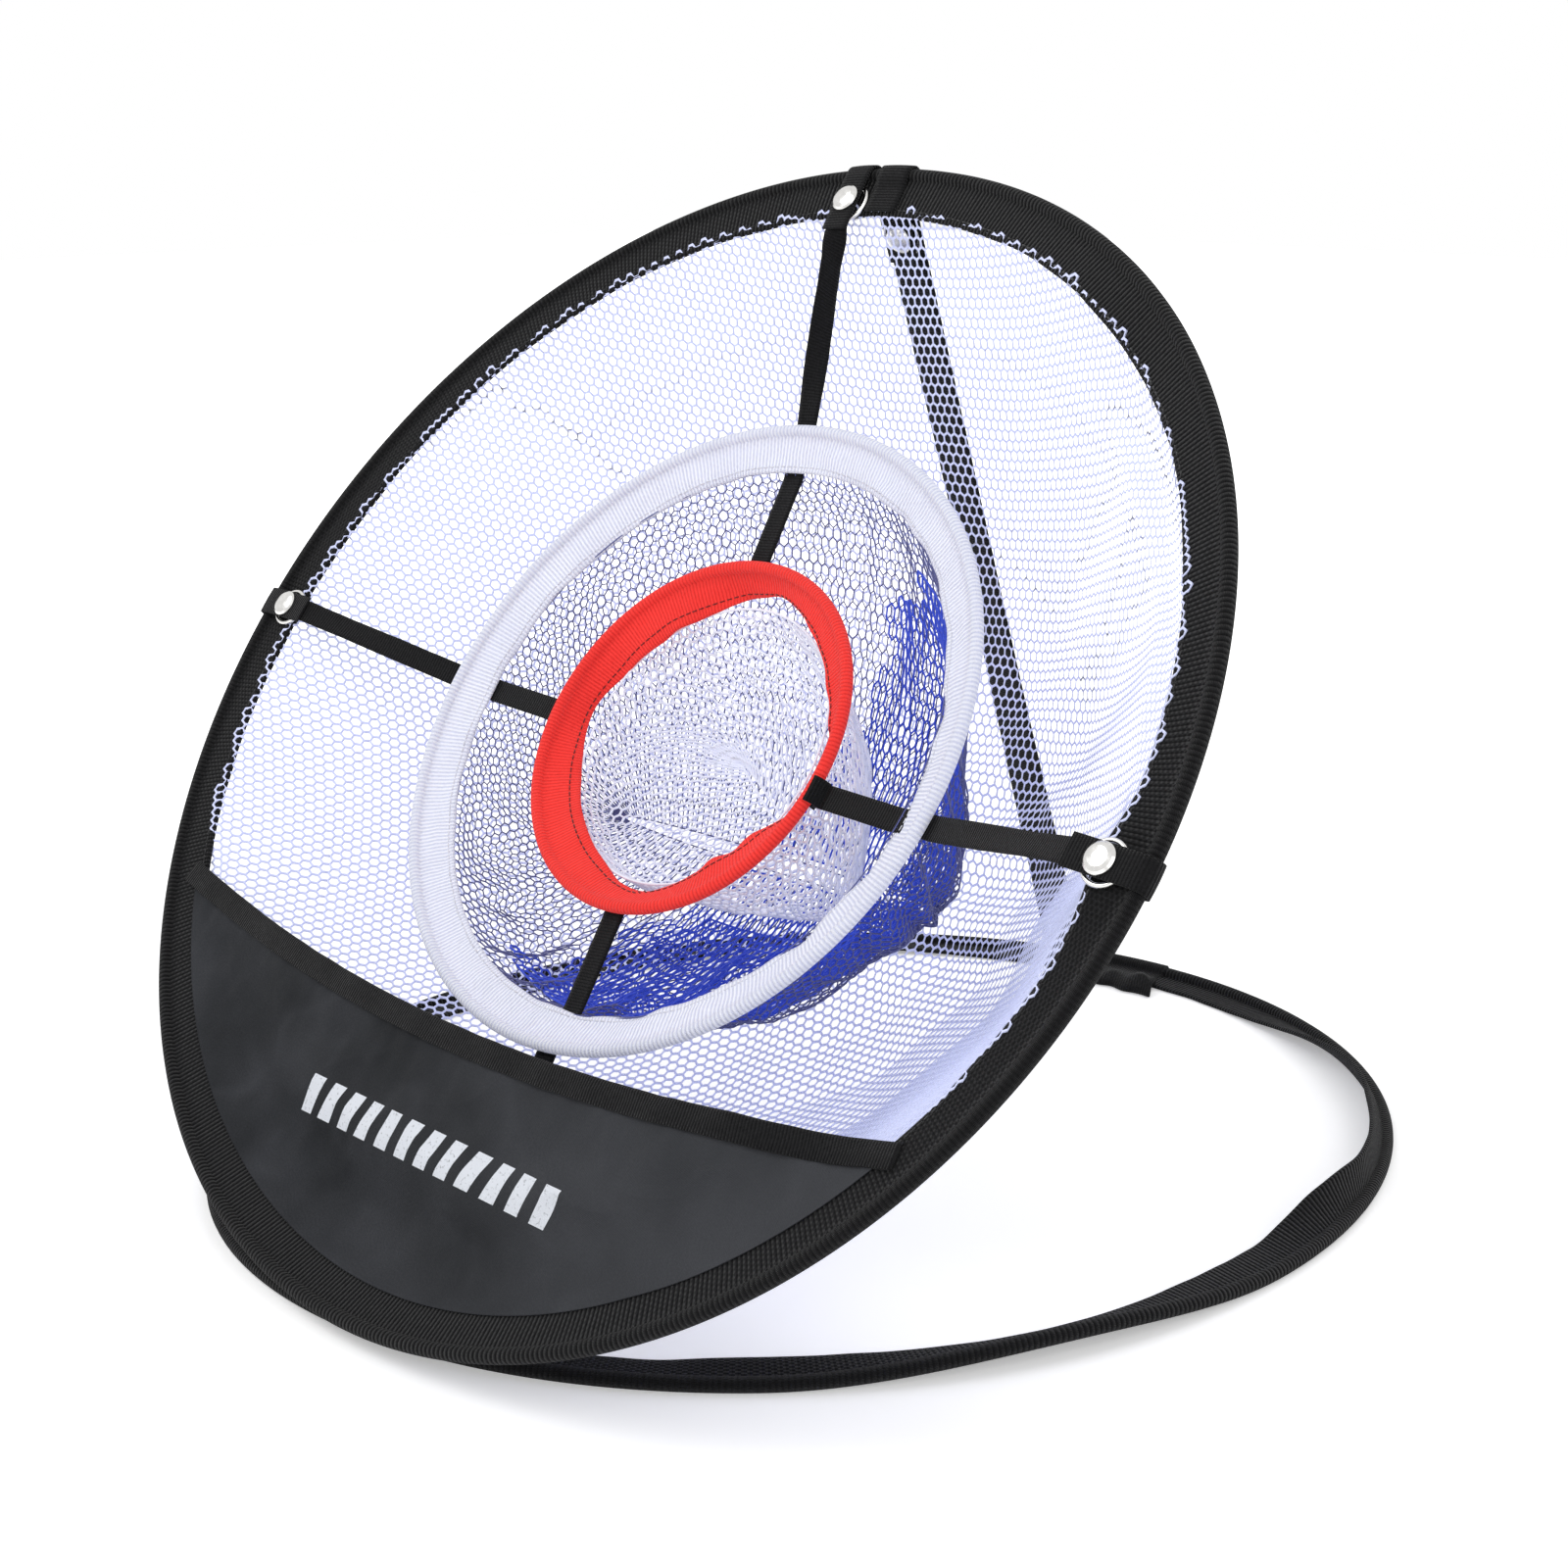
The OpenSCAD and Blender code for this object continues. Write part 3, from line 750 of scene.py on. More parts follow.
def ribbed_weave() -> bpy.types.NodeTree:
    """Ribs across a tape, each of them bound by fine threads, with painted shade in the grooves.

    Returns:
        A group that reads the piece's own UV map, in metres.
    """
    lengths = dict.fromkeys(("Rib", "Thread", "Relief", "Waver"), FLOAT)
    n, given, out = new_group("ribbed_weave", {"Ridge": COLOR, "Groove": COLOR, **lengths})
    uv, x, y = n.uv()
    drift = n.math("SUBTRACT", n.noise(uv, 90.0), 0.5)
    u = n.math("ADD", x, n.math("MULTIPLY", drift, given["Waver"]))
    rib = n.spread(n.math("COSINE", n.turns(u, given["Rib"])), -1.0, 1.0, (0.0, 1.0))
    number = n.math("FLOOR", n.math("DIVIDE", u, given["Rib"]))
    turn = n.math("ADD", n.turns(y, given["Thread"]), n.math("MULTIPLY", number, math.pi))
    thread = n.spread(n.math("COSINE", turn), -1.0, 1.0, (0.0, 1.0))
    fibre = n.noise(uv, 900.0)
    fine = n.math("ADD", n.math("MULTIPLY", thread, 0.3), n.math("MULTIPLY", fibre, 0.25))
    height = n.math("ADD", n.math("POWER", rib, 0.6), fine)
    # Painted shade: the colour runs from the darker Groove colour between the ribs to the lighter Ridge colour on
    # their lit tops.
    lit = n.math("MULTIPLY", n.math("POWER", rib, 0.7), 0.7)
    shade = n.math("ADD", lit, n.math("MULTIPLY", fibre, 0.4))
    broad = n.spread(n.noise(uv, 28.0), *NOISE_SPAN, (0.88, 1.1))
    share = n.math("MULTIPLY", shade, broad)
    surface = {
        "Color": n.blend(share, given["Groove"], given["Ridge"]),
        "Roughness": n.spread(fibre, *NOISE_SPAN, (0.95, 0.7)),
        "Normal": n.bump(height, given["Relief"]),
    }
    n.feed_all(out, surface)
    return n.tree


def plain_weave() -> bpy.types.NodeTree:
    """A fine cloth of threads that cross over and under, with painted sheen and shade on its creases.

    Returns:
        A group that reads the piece's own UV map, in metres.
    """
    inputs = {"Ridge": COLOR, "Groove": COLOR, "Thread": FLOAT, "Relief": FLOAT}
    n, given, out = new_group("plain_weave", inputs)
    uv, x, y = n.uv()
    warp, weft = (n.math("SINE", n.turns(way, given["Thread"])) for way in (x, y))
    check = n.spread(n.math("MULTIPLY", warp, weft), -1.0, 1.0, (0.0, 1.0))
    fibre = n.noise(uv, 1200.0)
    height = n.math("ADD", check, n.math("MULTIPLY", fibre, 0.5))
    # Painted sheen and shade: broad lighter and darker areas where the cloth's wrinkles would catch or lose the
    # light.
    broad = n.spread(n.noise(uv, 15.0, 3.0), 0.34, 0.66, (0.25, 1.35))
    # Painted highlights: thin lighter lines along the creases, stronger in some places than others.
    bend = n.math("ABSOLUTE", n.math("SUBTRACT", n.noise(uv, 17.0, 1.0), 0.5))
    patches = n.spread(n.noise(uv, 34.0), 0.4, 0.65, (0.0, 0.22))
    crease = n.math("MULTIPLY", n.spread(bend, 0.0, 0.06, (1.0, 0.0)), patches)
    grain = n.math("ADD", n.math("MULTIPLY", check, 0.6), n.math("MULTIPLY", fibre, 0.45))
    share = n.math("ADD", n.math("MULTIPLY", grain, broad), crease)
    surface = {
        "Color": n.blend(share, given["Groove"], given["Ridge"]),
        "Roughness": n.spread(fibre, *NOISE_SPAN, (0.95, 0.75)),
        "Normal": n.bump(height, given["Relief"]),
    }
    n.feed_all(out, surface)
    return n.tree


def fibres() -> bpy.types.NodeTree:
    """The look of knitted thread: a soft change of shade over a fine grain.

    Returns:
        A group that reads Object coordinates.
    """
    inputs = {"Light": COLOR, "Dark": COLOR, "Grain": FLOAT, "Relief": FLOAT}
    n, given, out = new_group("fibres", inputs)
    where = n.coordinates("Object")
    grain = n.noise(where, given["Grain"])
    both = n.math("ADD", grain, n.math("MULTIPLY", n.noise(where, 22.0), 0.8))
    share = n.spread(both, 0.5, 1.3, (0.0, 1.0))
    surface = {
        "Color": n.blend(share, given["Dark"], given["Light"]),
        "Roughness": n.spread(grain, *NOISE_SPAN, (0.85, 0.6)),
        "Normal": n.bump(grain, given["Relief"]),
    }
    n.feed_all(out, surface)
    return n.tree


# Finishes -----------------------------------------------------------------


class Weaves:
    """The shader groups that the finishes share."""

    def __init__(self) -> None:
        """Builds each group once."""
        self.ribbed = ribbed_weave()
        self.plain = plain_weave()
        self.thread = fibres()


def with_alpha(colour: Colour) -> tuple[float, float, float, float]:
    """A colour as the four numbers that a socket takes."""
    return (*colour, 1.0)


def new_material(name: str) -> tuple[bpy.types.Material, Nodes, bpy.types.Node]:
    """A new material.

    Args:
        name: the material's name.

    Returns:
        The material, its nodes and its Principled shader.
    """
    material = bpy.data.materials.new(name)
    material.use_nodes = True
    shader = material.node_tree.nodes["Principled BSDF"]
    return material, Nodes(material.node_tree), shader


def join_group(
    n: Nodes, shader: bpy.types.Node, group: bpy.types.NodeTree, **values: object
) -> bpy.types.Node:
    """Places a group in a material and feeds the shader from it.

    Args:
        n: the material's nodes.
        shader: its Principled shader.
        group: the group to place.
        **values: what the group's inputs are set to; a colour has three numbers.

    Returns:
        The group's node.
    """
    node = n.add("ShaderNodeGroup", node_tree=group)
    for key, value in values.items():
        n.feed(node.inputs[key], with_alpha(value) if isinstance(value, tuple) else value)
    # The colour also feeds Emission Color, so a finish with glow gives off its own colour as light: painted glow.
    surface = {
        "Base Color": node.outputs["Color"],
        "Emission Color": node.outputs["Color"],
        "Roughness": node.outputs["Roughness"],
        "Normal": node.outputs["Normal"],
    }
    n.feed_all(shader, surface)
    return node


@dataclass(frozen=True)
class Finish:
    """A named look, which is built as one material."""

    name: str

    def material(self, weaves: Weaves) -> bpy.types.Material:
        """Builds the material.

        Args:
            weaves: the shared groups.

        Returns:
            The material.
        """
        material, n, shader = new_material(self.name)
        self.wire(n, shader, weaves)
        return material

    def wire(self, n: Nodes, shader: bpy.types.Node, weaves: Weaves) -> None:
        """Places the material's nodes.

        Args:
            n: the material's nodes.
            shader: its Principled shader.
            weaves: the shared groups.
        """
        raise NotImplementedError


@dataclass(frozen=True)
class TapeFinish(Finish):
    """Ribbed webbing or tape."""

    # ridge is the colour of the ribs' lit tops, and groove the darker colour painted between them as shade.
    ridge: Colour
    groove: Colour
    rib: float
    thread: float
    relief: float
    waver: float = 0.0006
    sheen: float = 0.1
    sheen_roughness: float = 0.4
    gloss: float = 0.15
    # How strongly the tape gives off its own colour: painted glow that brightens it.
    glow: float = 0.0

    def wire(self, n: Nodes, shader: bpy.types.Node, weaves: Weaves) -> None:
        """Places the material's nodes.

        Args:
            n: the material's nodes.
            shader: its Principled shader.
            weaves: the shared groups.
        """
        join_group(
            n,
            shader,
            weaves.ribbed,
            Ridge=self.ridge,
            Groove=self.groove,
            Rib=self.rib,
            Thread=self.thread,
            Relief=self.relief,
            Waver=self.waver,
        )
        shader.inputs["Sheen Weight"].default_value = self.sheen
        shader.inputs["Sheen Roughness"].default_value = self.sheen_roughness
        shader.inputs["Specular IOR Level"].default_value = self.gloss
        shader.inputs["Emission Strength"].default_value = self.glow


@dataclass(frozen=True)
class ThreadFinish(Finish):
    """Knitted or sewn thread."""

    light: Colour
    dark: Colour
    sheen: float = 0.2
    gloss: float = 0.3
    # How strongly the thread or net gives off its own colour: painted glow that brightens it.
    glow: float = 0.0
    grain: float = 2600.0
    relief: float = 0.00008

    def wire(self, n: Nodes, shader: bpy.types.Node, weaves: Weaves) -> None:
        """Places the material's nodes.

        Args:
            n: the material's nodes.
            shader: its Principled shader.
            weaves: the shared groups.
        """
        look = {"Light": self.light, "Dark": self.dark}
        join_group(n, shader, weaves.thread, Grain=self.grain, Relief=self.relief, **look)
        shader.inputs["Sheen Weight"].default_value = self.sheen
        shader.inputs["Specular IOR Level"].default_value = self.gloss
        shader.inputs["Emission Strength"].default_value = self.glow


@dataclass(frozen=True)
class PanelFinish(Finish):
    """Plain cloth with a row of pale slanted bars printed across its middle."""

    # ridge and groove are the lighter and darker ends of the cloth's colour; its weave and its painted sheen and
    # shade run between them.
    ridge: Colour
    groove: Colour
    ink: Colour
    # A lighter grey that the cloth is blended towards higher up the panel: painted sheen.
    painted_sheen: Colour
    thread: float = 0.0007
    relief: float = 0.00012
    gloss: float = 0.08
    smoothness: float = 0.55
    print_left: float = -0.071
    print_right: float = 0.084
    print_middle: float = -0.183
    print_half: float = 0.0075
    bar_pitch: float = 0.0129
    bar_share: float = 0.56
    slant: float = 0.3

    def bars(self, n: Nodes) -> Socket:
        """Draws the print.

        Args:
            n: the material's nodes.

        Returns:
            A mask that is 1 on a bar, and less where its ink is worn.
        """
        uv, across, up = n.uv()
        off = n.math("ABSOLUTE", n.math("SUBTRACT", up, self.print_middle))
        tall = n.math("LESS_THAN", off, self.print_half)
        slid = n.math("SUBTRACT", across, n.math("MULTIPLY", up, self.slant))
        start = self.print_left - self.print_middle * self.slant
        count = float(round((self.print_right - self.print_left) / self.bar_pitch))
        step = n.math("DIVIDE", n.math("SUBTRACT", slid, start), self.bar_pitch)
        bar = n.math("LESS_THAN", n.math("FRACT", step), self.bar_share)
        begun, ended = n.math("GREATER_THAN", step, 0.0), n.math("LESS_THAN", step, count)
        worn = n.spread(n.noise(uv, 700.0), 0.28, 0.42, (0.55, 1.0))
        inked = n.math("MULTIPLY", n.math("MULTIPLY", begun, ended), worn)
        return n.math("MULTIPLY", n.math("MULTIPLY", tall, bar), inked)

    def wire(self, n: Nodes, shader: bpy.types.Node, weaves: Weaves) -> None:
        """Places the material's nodes, with the print over the cloth.

        Args:
            n: the material's nodes.
            shader: its Principled shader.
            weaves: the shared groups.
        """
        look = {"Ridge": self.ridge, "Groove": self.groove}
        cloth = join_group(
            n, shader, weaves.plain, Thread=self.thread, Relief=self.relief, **look
        ).outputs
        # Painted sheen: the cloth is blended towards a lighter grey higher up the panel.
        sheen_rise = n.spread(n.uv()[1], -0.06, 0.2, (0.0, 0.38))
        ground = n.blend(sheen_rise, cloth["Color"], with_alpha(self.painted_sheen))
        rough = n.math("MULTIPLY", cloth["Roughness"], self.smoothness)
        n.feed(shader.inputs["Base Color"], n.blend(self.bars(n), ground, with_alpha(self.ink)))
        n.feed(shader.inputs["Roughness"], rough)
        shader.inputs["Specular IOR Level"].default_value = self.gloss


@dataclass(frozen=True)
class MetalFinish(Finish):
    """Plated or drawn metal."""

    colour: Colour
    roughness: tuple[float, float]
    grain: float
    relief: float
    dullness: float = 0.82

    def wire(self, n: Nodes, shader: bpy.types.Node, weaves: Weaves) -> None:
        """Places the material's nodes.

        Args:
            n: the material's nodes.
            shader: its Principled shader.
            weaves: the shared groups.
        """
        rub = n.noise(n.coordinates("Object"), self.grain, 4.0)
        dull = tuple(c * self.dullness for c in self.colour)
        surface = {
            "Base Color": n.blend(rub, with_alpha(dull), with_alpha(self.colour)),
            "Roughness": n.spread(rub, *NOISE_SPAN, self.roughness),
            "Normal": n.bump(rub, self.relief),
            "Metallic": 1.0,
        }
        n.feed_all(shader, surface)


# A tape's colours are its lit ridge and the painted shade of its grooves, and its numbers are its rib, thread and
# relief.
BLACK_TAPE = TapeFinish(
    "black_ribbed_webbing", (0.0075, 0.0075, 0.0085), (0.001, 0.001, 0.0013), 0.0021, 0.001, 0.0007
)
BLACK_STRAP = TapeFinish(
    "black_flat_webbing", (0.008, 0.008, 0.009), (0.0015, 0.0015, 0.0018), 0.0013, 0.0008, 0.0003
)
# The white and red tapes give off their own colour: painted glow.
WHITE_TAPE = TapeFinish(
    "white_ribbed_tape", (0.87, 0.885, 0.98), (0.62, 0.645, 0.82), 0.0019, 0.0011, 0.0006, glow=0.2
)
RED_TAPE = TapeFinish(
    "red_ribbed_tape", (0.9, 0.048, 0.04), (0.6, 0.02, 0.017), 0.0017, 0.0011, 0.0004, glow=0.3
)
PANEL_CLOTH = PanelFinish(
    "dark_grey_cloth",
    ridge=(0.044, 0.046, 0.053),
    groove=(0.006, 0.007, 0.0085),
    ink=(0.76, 0.79, 0.85),
    # The lighter grey of the painted sheen higher up the panel.
    painted_sheen=(0.08, 0.083, 0.092),
)
# The nets give off their own colour: painted glow in place of light passing through their strands.
WHITE_MESH = ThreadFinish("white_knitted_mesh", (0.67, 0.71, 0.955), (0.59, 0.63, 0.91), glow=0.24)
THICK_MESH = ThreadFinish("thick_white_mesh", (0.86, 0.88, 0.97), (0.72, 0.74, 0.88), glow=0.16)
BLUE_MESH = ThreadFinish("blue_knitted_mesh", (0.036, 0.085, 0.66), (0.022, 0.05, 0.44), glow=0.22)
# A darker, greyer copy of the blue net's colour for its deep pocket behind the laps: painted shade, with a faint
# painted glow.
SHADED_BLUE_MESH = ThreadFinish(
    "shaded_blue_knitted_mesh", (0.13, 0.14, 0.33), (0.07, 0.08, 0.24), glow=0.05
)
WHITE_THREAD = ThreadFinish("white_sewing_thread", (0.85, 0.86, 0.92), (0.7, 0.7, 0.78))
RED_THREAD = ThreadFinish("dark_red_sewing_thread", (0.16, 0.01, 0.01), (0.08, 0.005, 0.005))
BLACK_THREAD = ThreadFinish("black_sewing_thread", (0.03, 0.03, 0.032), (0.01, 0.01, 0.011))
NICKEL = MetalFinish("nickel_plate", (0.78, 0.77, 0.75), (0.12, 0.3), 420.0, 0.00001)
STEEL = MetalFinish("drawn_spring_steel", (0.55, 0.55, 0.56), (0.3, 0.5), 900.0, 0.00002)
FERRULE = MetalFinish("crimped_steel", (0.6, 0.6, 0.6), (0.35, 0.55), 500.0, 0.00003)


# Dressing -----------------------------------------------------------------


class Dresser:
    """Gives each piece its material and its body, and hides the CAD nodes that it stands for."""

    def __init__(self) -> None:
        """Builds the shared groups."""
        self.weaves = Weaves()
        self.made: dict[str, bpy.types.Material] = {}

    def paint(self, piece: Piece, finish: Finish) -> None:
        """Puts a finish on a piece, in place of what it has.

        Args:
            piece: the piece or the CAD node.
            finish: its finish.
        """
        if finish.name not in self.made:
            self.made[finish.name] = finish.material(self.weaves)
        piece.data.materials.clear()
        piece.data.materials.append(self.made[finish.name])

    def dress(
        self,
        piece: Piece,
        finish: Finish,
        slot: Slot,
        body: Body | None = Body.FRONT,
        nodes: Sequence[str] = (),
    ) -> Piece:
        """Dresses one piece.

        Args:
            piece: the piece, in the row's frame.
            finish: its finish.
            slot: the record's slot that the finish belongs to; not used.
            body: the body it rides on, or None where it blends between two.
            nodes: the CAD nodes it stands for.

        Returns:
            The piece.
        """
        self.paint(piece, finish)
        if body is not None:
            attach(piece, body.value)
        if nodes:
            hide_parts(*nodes)
        log.info("%s: %d faces", piece.name, len(piece.data.polygons))
        return piece

    def dress_frame(self) -> None:
        """Gives their metal to the CAD nodes that still show."""
        metals = {Slot.SPRING: STEEL, Slot.FERRULE: FERRULE, Slot.NICKEL: NICKEL}
        slots = {part["node"]: part["material_slot"] for part in frame["record"]["subparts"]}
        for name, node in frame["nodes"].items():
            slot = Slot(slots[name])
            if slot in metals:
                self.paint(node, metals[slot])
                log.info("%s keeps its CAD shape", name)


@dataclass(kw_only=True)
class SubAssembly:
    """A part of the net, which builds its own pieces and has them dressed."""

    dresser: Dresser

    def build(self) -> None:
        """Builds its pieces."""
        raise NotImplementedError


@dataclass
class Strap:
    """A flat length of black webbing that follows a route.

    It stands for the CAD node of its name, unless it is an extra end.
    """

    name: str
    route: list[Knot]
    width: float
    thickness: float = 0.0009
    body: Body | None = Body.FRONT
    ease: float = 0.002
    steps: int = 120
    rows: int = 6
    crown: float = 0.0002
    fray: float = 0.02
    extra: bool = False

    def build(self, dresser: Dresser) -> Piece:
        """Builds the strap.

        Args:
            dresser: what dresses it.

        Returns:
            The strap, as an object.
        """
        walked = eased(self.route, self.ease, self.steps)
        length = sum((b.at - a.at).length for a, b in zip(walked, walked[1:]))

        def place(u: float, v: float) -> Vector:
            """A point of the strap's middle layer.

            Args:
                u: the share along it.
                v: the share across it.

            Returns:
                The point.
            """
            i = round(u * self.steps)
            knot = walked[i]
            ahead = walked[min(i + 1, self.steps)].at - walked[max(i - 1, 0)].at
            face = ahead.cross(knot.across).normalized()
            bulge = self.crown * (1 - (2 * v - 1) ** 2)
            fray = 1 + self.fray * ripple(u * length * 120, 3.0 if v > 0.5 else 8.0)
            return knot.at + knot.across * (v - 0.5) * self.width * fray + face * bulge

        bm = cloth_grid(self.steps, self.rows, place, (length, self.width))
        name, nodes = (self.name, ()) if self.extra else (f"{self.name}_webbing", (self.name,))
        piece = layer(name, bm, self.thickness, even=True)
        return dresser.dress(piece, BLACK_STRAP, Slot.BLACK, self.body, nodes)


# Ring casings -------------------------------------------------------------


@dataclass(kw_only=True)
class RingCasing(SubAssembly):
    """A tape folded over a ring of wire, whose skirt slopes to the net behind."""

    name: str
    node: str
    finish: TapeFinish
    slot: Slot
    thread: ThreadFinish
    radius: float
    width: float = 0.020
    bead: float = 0.0026
    thickness: float = 0.0017
    depth: float
    hem: float = 0.0025
    steps: int = 480
    stitch: tuple[float, float] = (0.0021, 0.00045)
    stitch_pitch: float = 0.0031
    stitch_lift: float = 0.0001
    matrix: Matrix = field(default_factory=LAYOUT.target)

    def slope(self, angle: float) -> float:
        """How far the skirt leans back, in degrees."""
        return 0.0

    def reach(self, angle: float) -> float:
        """Width of the casing at an angle, as a share of its plain width."""
        return 1.0

    def lift(self, angle: float, inward: float) -> float:
        """How far the skirt bulges out of its own plane."""
        return 0.0

    def surface(self, angle: float, inward: float, height: float) -> Vector:
        """A point of the casing, in the row's frame.

        Args:
            angle: round the ring.
            inward: along the skirt, from the middle of the wire.
            height: out of the skirt.

        Returns:
            The point.
        """
        if inward > self.bead:
            share = (inward - self.bead) / (self.width - 2 * self.bead)
            inward = self.bead + (inward - self.bead) * mix(1, self.reach(angle), share)
            height += self.lift(angle, share)
        lean = self.slope(angle)
        back = inward * sin(lean) - height * cos(lean)
        radius = self.radius - self.bead - inward * cos(lean) - height * sin(lean)
        return self.matrix @ polar(angle, radius, -self.depth - back)

    def build(self) -> None:
        """Builds the casing and sews it."""
        section = casing_section(self.width, self.bead, self.thickness)

        def corner(u: float, row: int) -> Vector:
            """A point of the casing from its share round and its corner."""
            return self.surface(360 * (u % 1), *section[row])

        size = (2 * math.pi * self.radius, girth(section))
        piece = tube(self.name, self.steps, len(section), size, corner)
        self.dresser.dress(piece, self.finish, self.slot, Body.FRONT, [self.node])
        self.sew()

    def sew(self) -> None:
        """Sews a row of stitches into each face of the skirt, near its edge."""
        inward = self.width - self.bead - self.hem

        def place(share: float) -> tuple[Vector, Vector]:
            """A stitch of the front row, and then of the back one.

            Args:
                share: how far along both rows it lies.

            Returns:
                Its middle and the way that it runs.
            """
            angle = 720 * share % 360
            side = 1 if share < 0.5 else -1
            height = (self.thickness / 2 + self.stitch_lift) * side
            middle = self.surface(angle, inward, height)
            return middle, self.surface(angle + 0.2, inward, height) - middle

        count = 2 * round(2 * math.pi * (self.radius - inward) / self.stitch_pitch)
        row = stitches(f"{self.name}_stitches", count, place, self.stitch)
        self.dresser.dress(row, self.thread, self.slot)


@dataclass(kw_only=True)
class HoopCasing(RingCasing):
    """The black casing of the front hoop."""

    name: str = "hoop_casing_tape"
    node: str = "hoop_casing"
    finish: TapeFinish = BLACK_TAPE
    slot: Slot = Slot.BLACK
    thread: ThreadFinish = BLACK_THREAD
    radius: float = LAYOUT.hoop_radius
    width: float = 0.0225
    bead: float = LAYOUT.bead
    thickness: float = 0.0022
    depth: float = 0.0
    steps: int = 720
    matrix: Matrix = field(default_factory=LAYOUT.hoop)

    def slope(self, angle: float) -> float:
        """The hoop's skirt leans back at the bottom and at the right."""
        return hoop_lean(angle)

    def reach(self, angle: float) -> float:
        """The edge wanders a little, as the net pulls at it."""
        return 1 + 0.05 * ring_ripple(angle, 60, 3.3)


@dataclass(kw_only=True)
class WhiteCasing(RingCasing):
    """The white casing of the middle target."""

    name: str = "white_ring_tape"
    node: str = "white_ring_casing"
    finish: TapeFinish = WHITE_TAPE
    slot: Slot = Slot.WHITE_TAPE
    thread: ThreadFinish = WHITE_THREAD
    radius: float = 0.1385
    depth: float = 0.022
    pucker: float = 0.0024

    def slope(self, angle: float) -> float:
        """The pocket behind draws the skirt back, most at the right."""
        return 20 + 7 * ring_ripple(angle, 14, 7.1) + 8 * lump(angle, 350, 40)

    def lift(self, angle: float, inward: float) -> float:
        """Shallow puckers where the tape turns the corner."""
        return self.pucker * ring_ripple(angle, 50, 2.2 + 2 * inward) * inward


@dataclass(kw_only=True)
class RedCasing(RingCasing):
    """The red casing of the inner target, which the straps draw to corners."""

    name: str = "red_ring_tape"
    node: str = "red_ring_casing"
    finish: TapeFinish = RED_TAPE
    slot: Slot = Slot.RED_TAPE
    thread: ThreadFinish = RED_THREAD
    radius: float = 0.078
    depth: float = 0.028
    hem: float = 0.004
    corners: tuple[float, ...] = (94.8, 178.3, 277.0, 357.7)
    corner_width: float = 20.0
    wide: float = 1.08
    narrow: float = 0.74
    tuck: float = 0.42
    fold: float = 0.002

    def pinch(self, angle: float) -> float:
        """1 at a strap and 0 between straps."""
        return min(1.0, sum(lump(angle, c, self.corner_width) for c in self.corners))

    def slope(self, angle: float) -> float:
        """The skirt leans back far more where a strap pulls it."""
        pulled = 56 - 14 * lump(angle, 277, 30)
        return mix(20, pulled, self.pinch(angle)) + 4 * ring_ripple(angle, 18, 5.5)

    def reach(self, angle: float) -> float:
        """The skirt is drawn in at the straps, and most at the upper right.

        Args:
            angle: round the ring.

        Returns:
            The width there, as a share of the plain width.
        """
        tucked = self.tuck * smooth(-10, 20, angle) * smooth(98, 76, angle)
        drawn = mix(self.wide, self.narrow, self.pinch(angle))
        return drawn - tucked + 0.04 * ring_ripple(angle, 24)

    def lift(self, angle: float, inward: float) -> float:
        """Folds that run in from the straps."""
        return self.fold * ring_ripple(angle, 33, 8.4 + 1.5 * inward) * inward


# Nets ---------------------------------------------------------------------


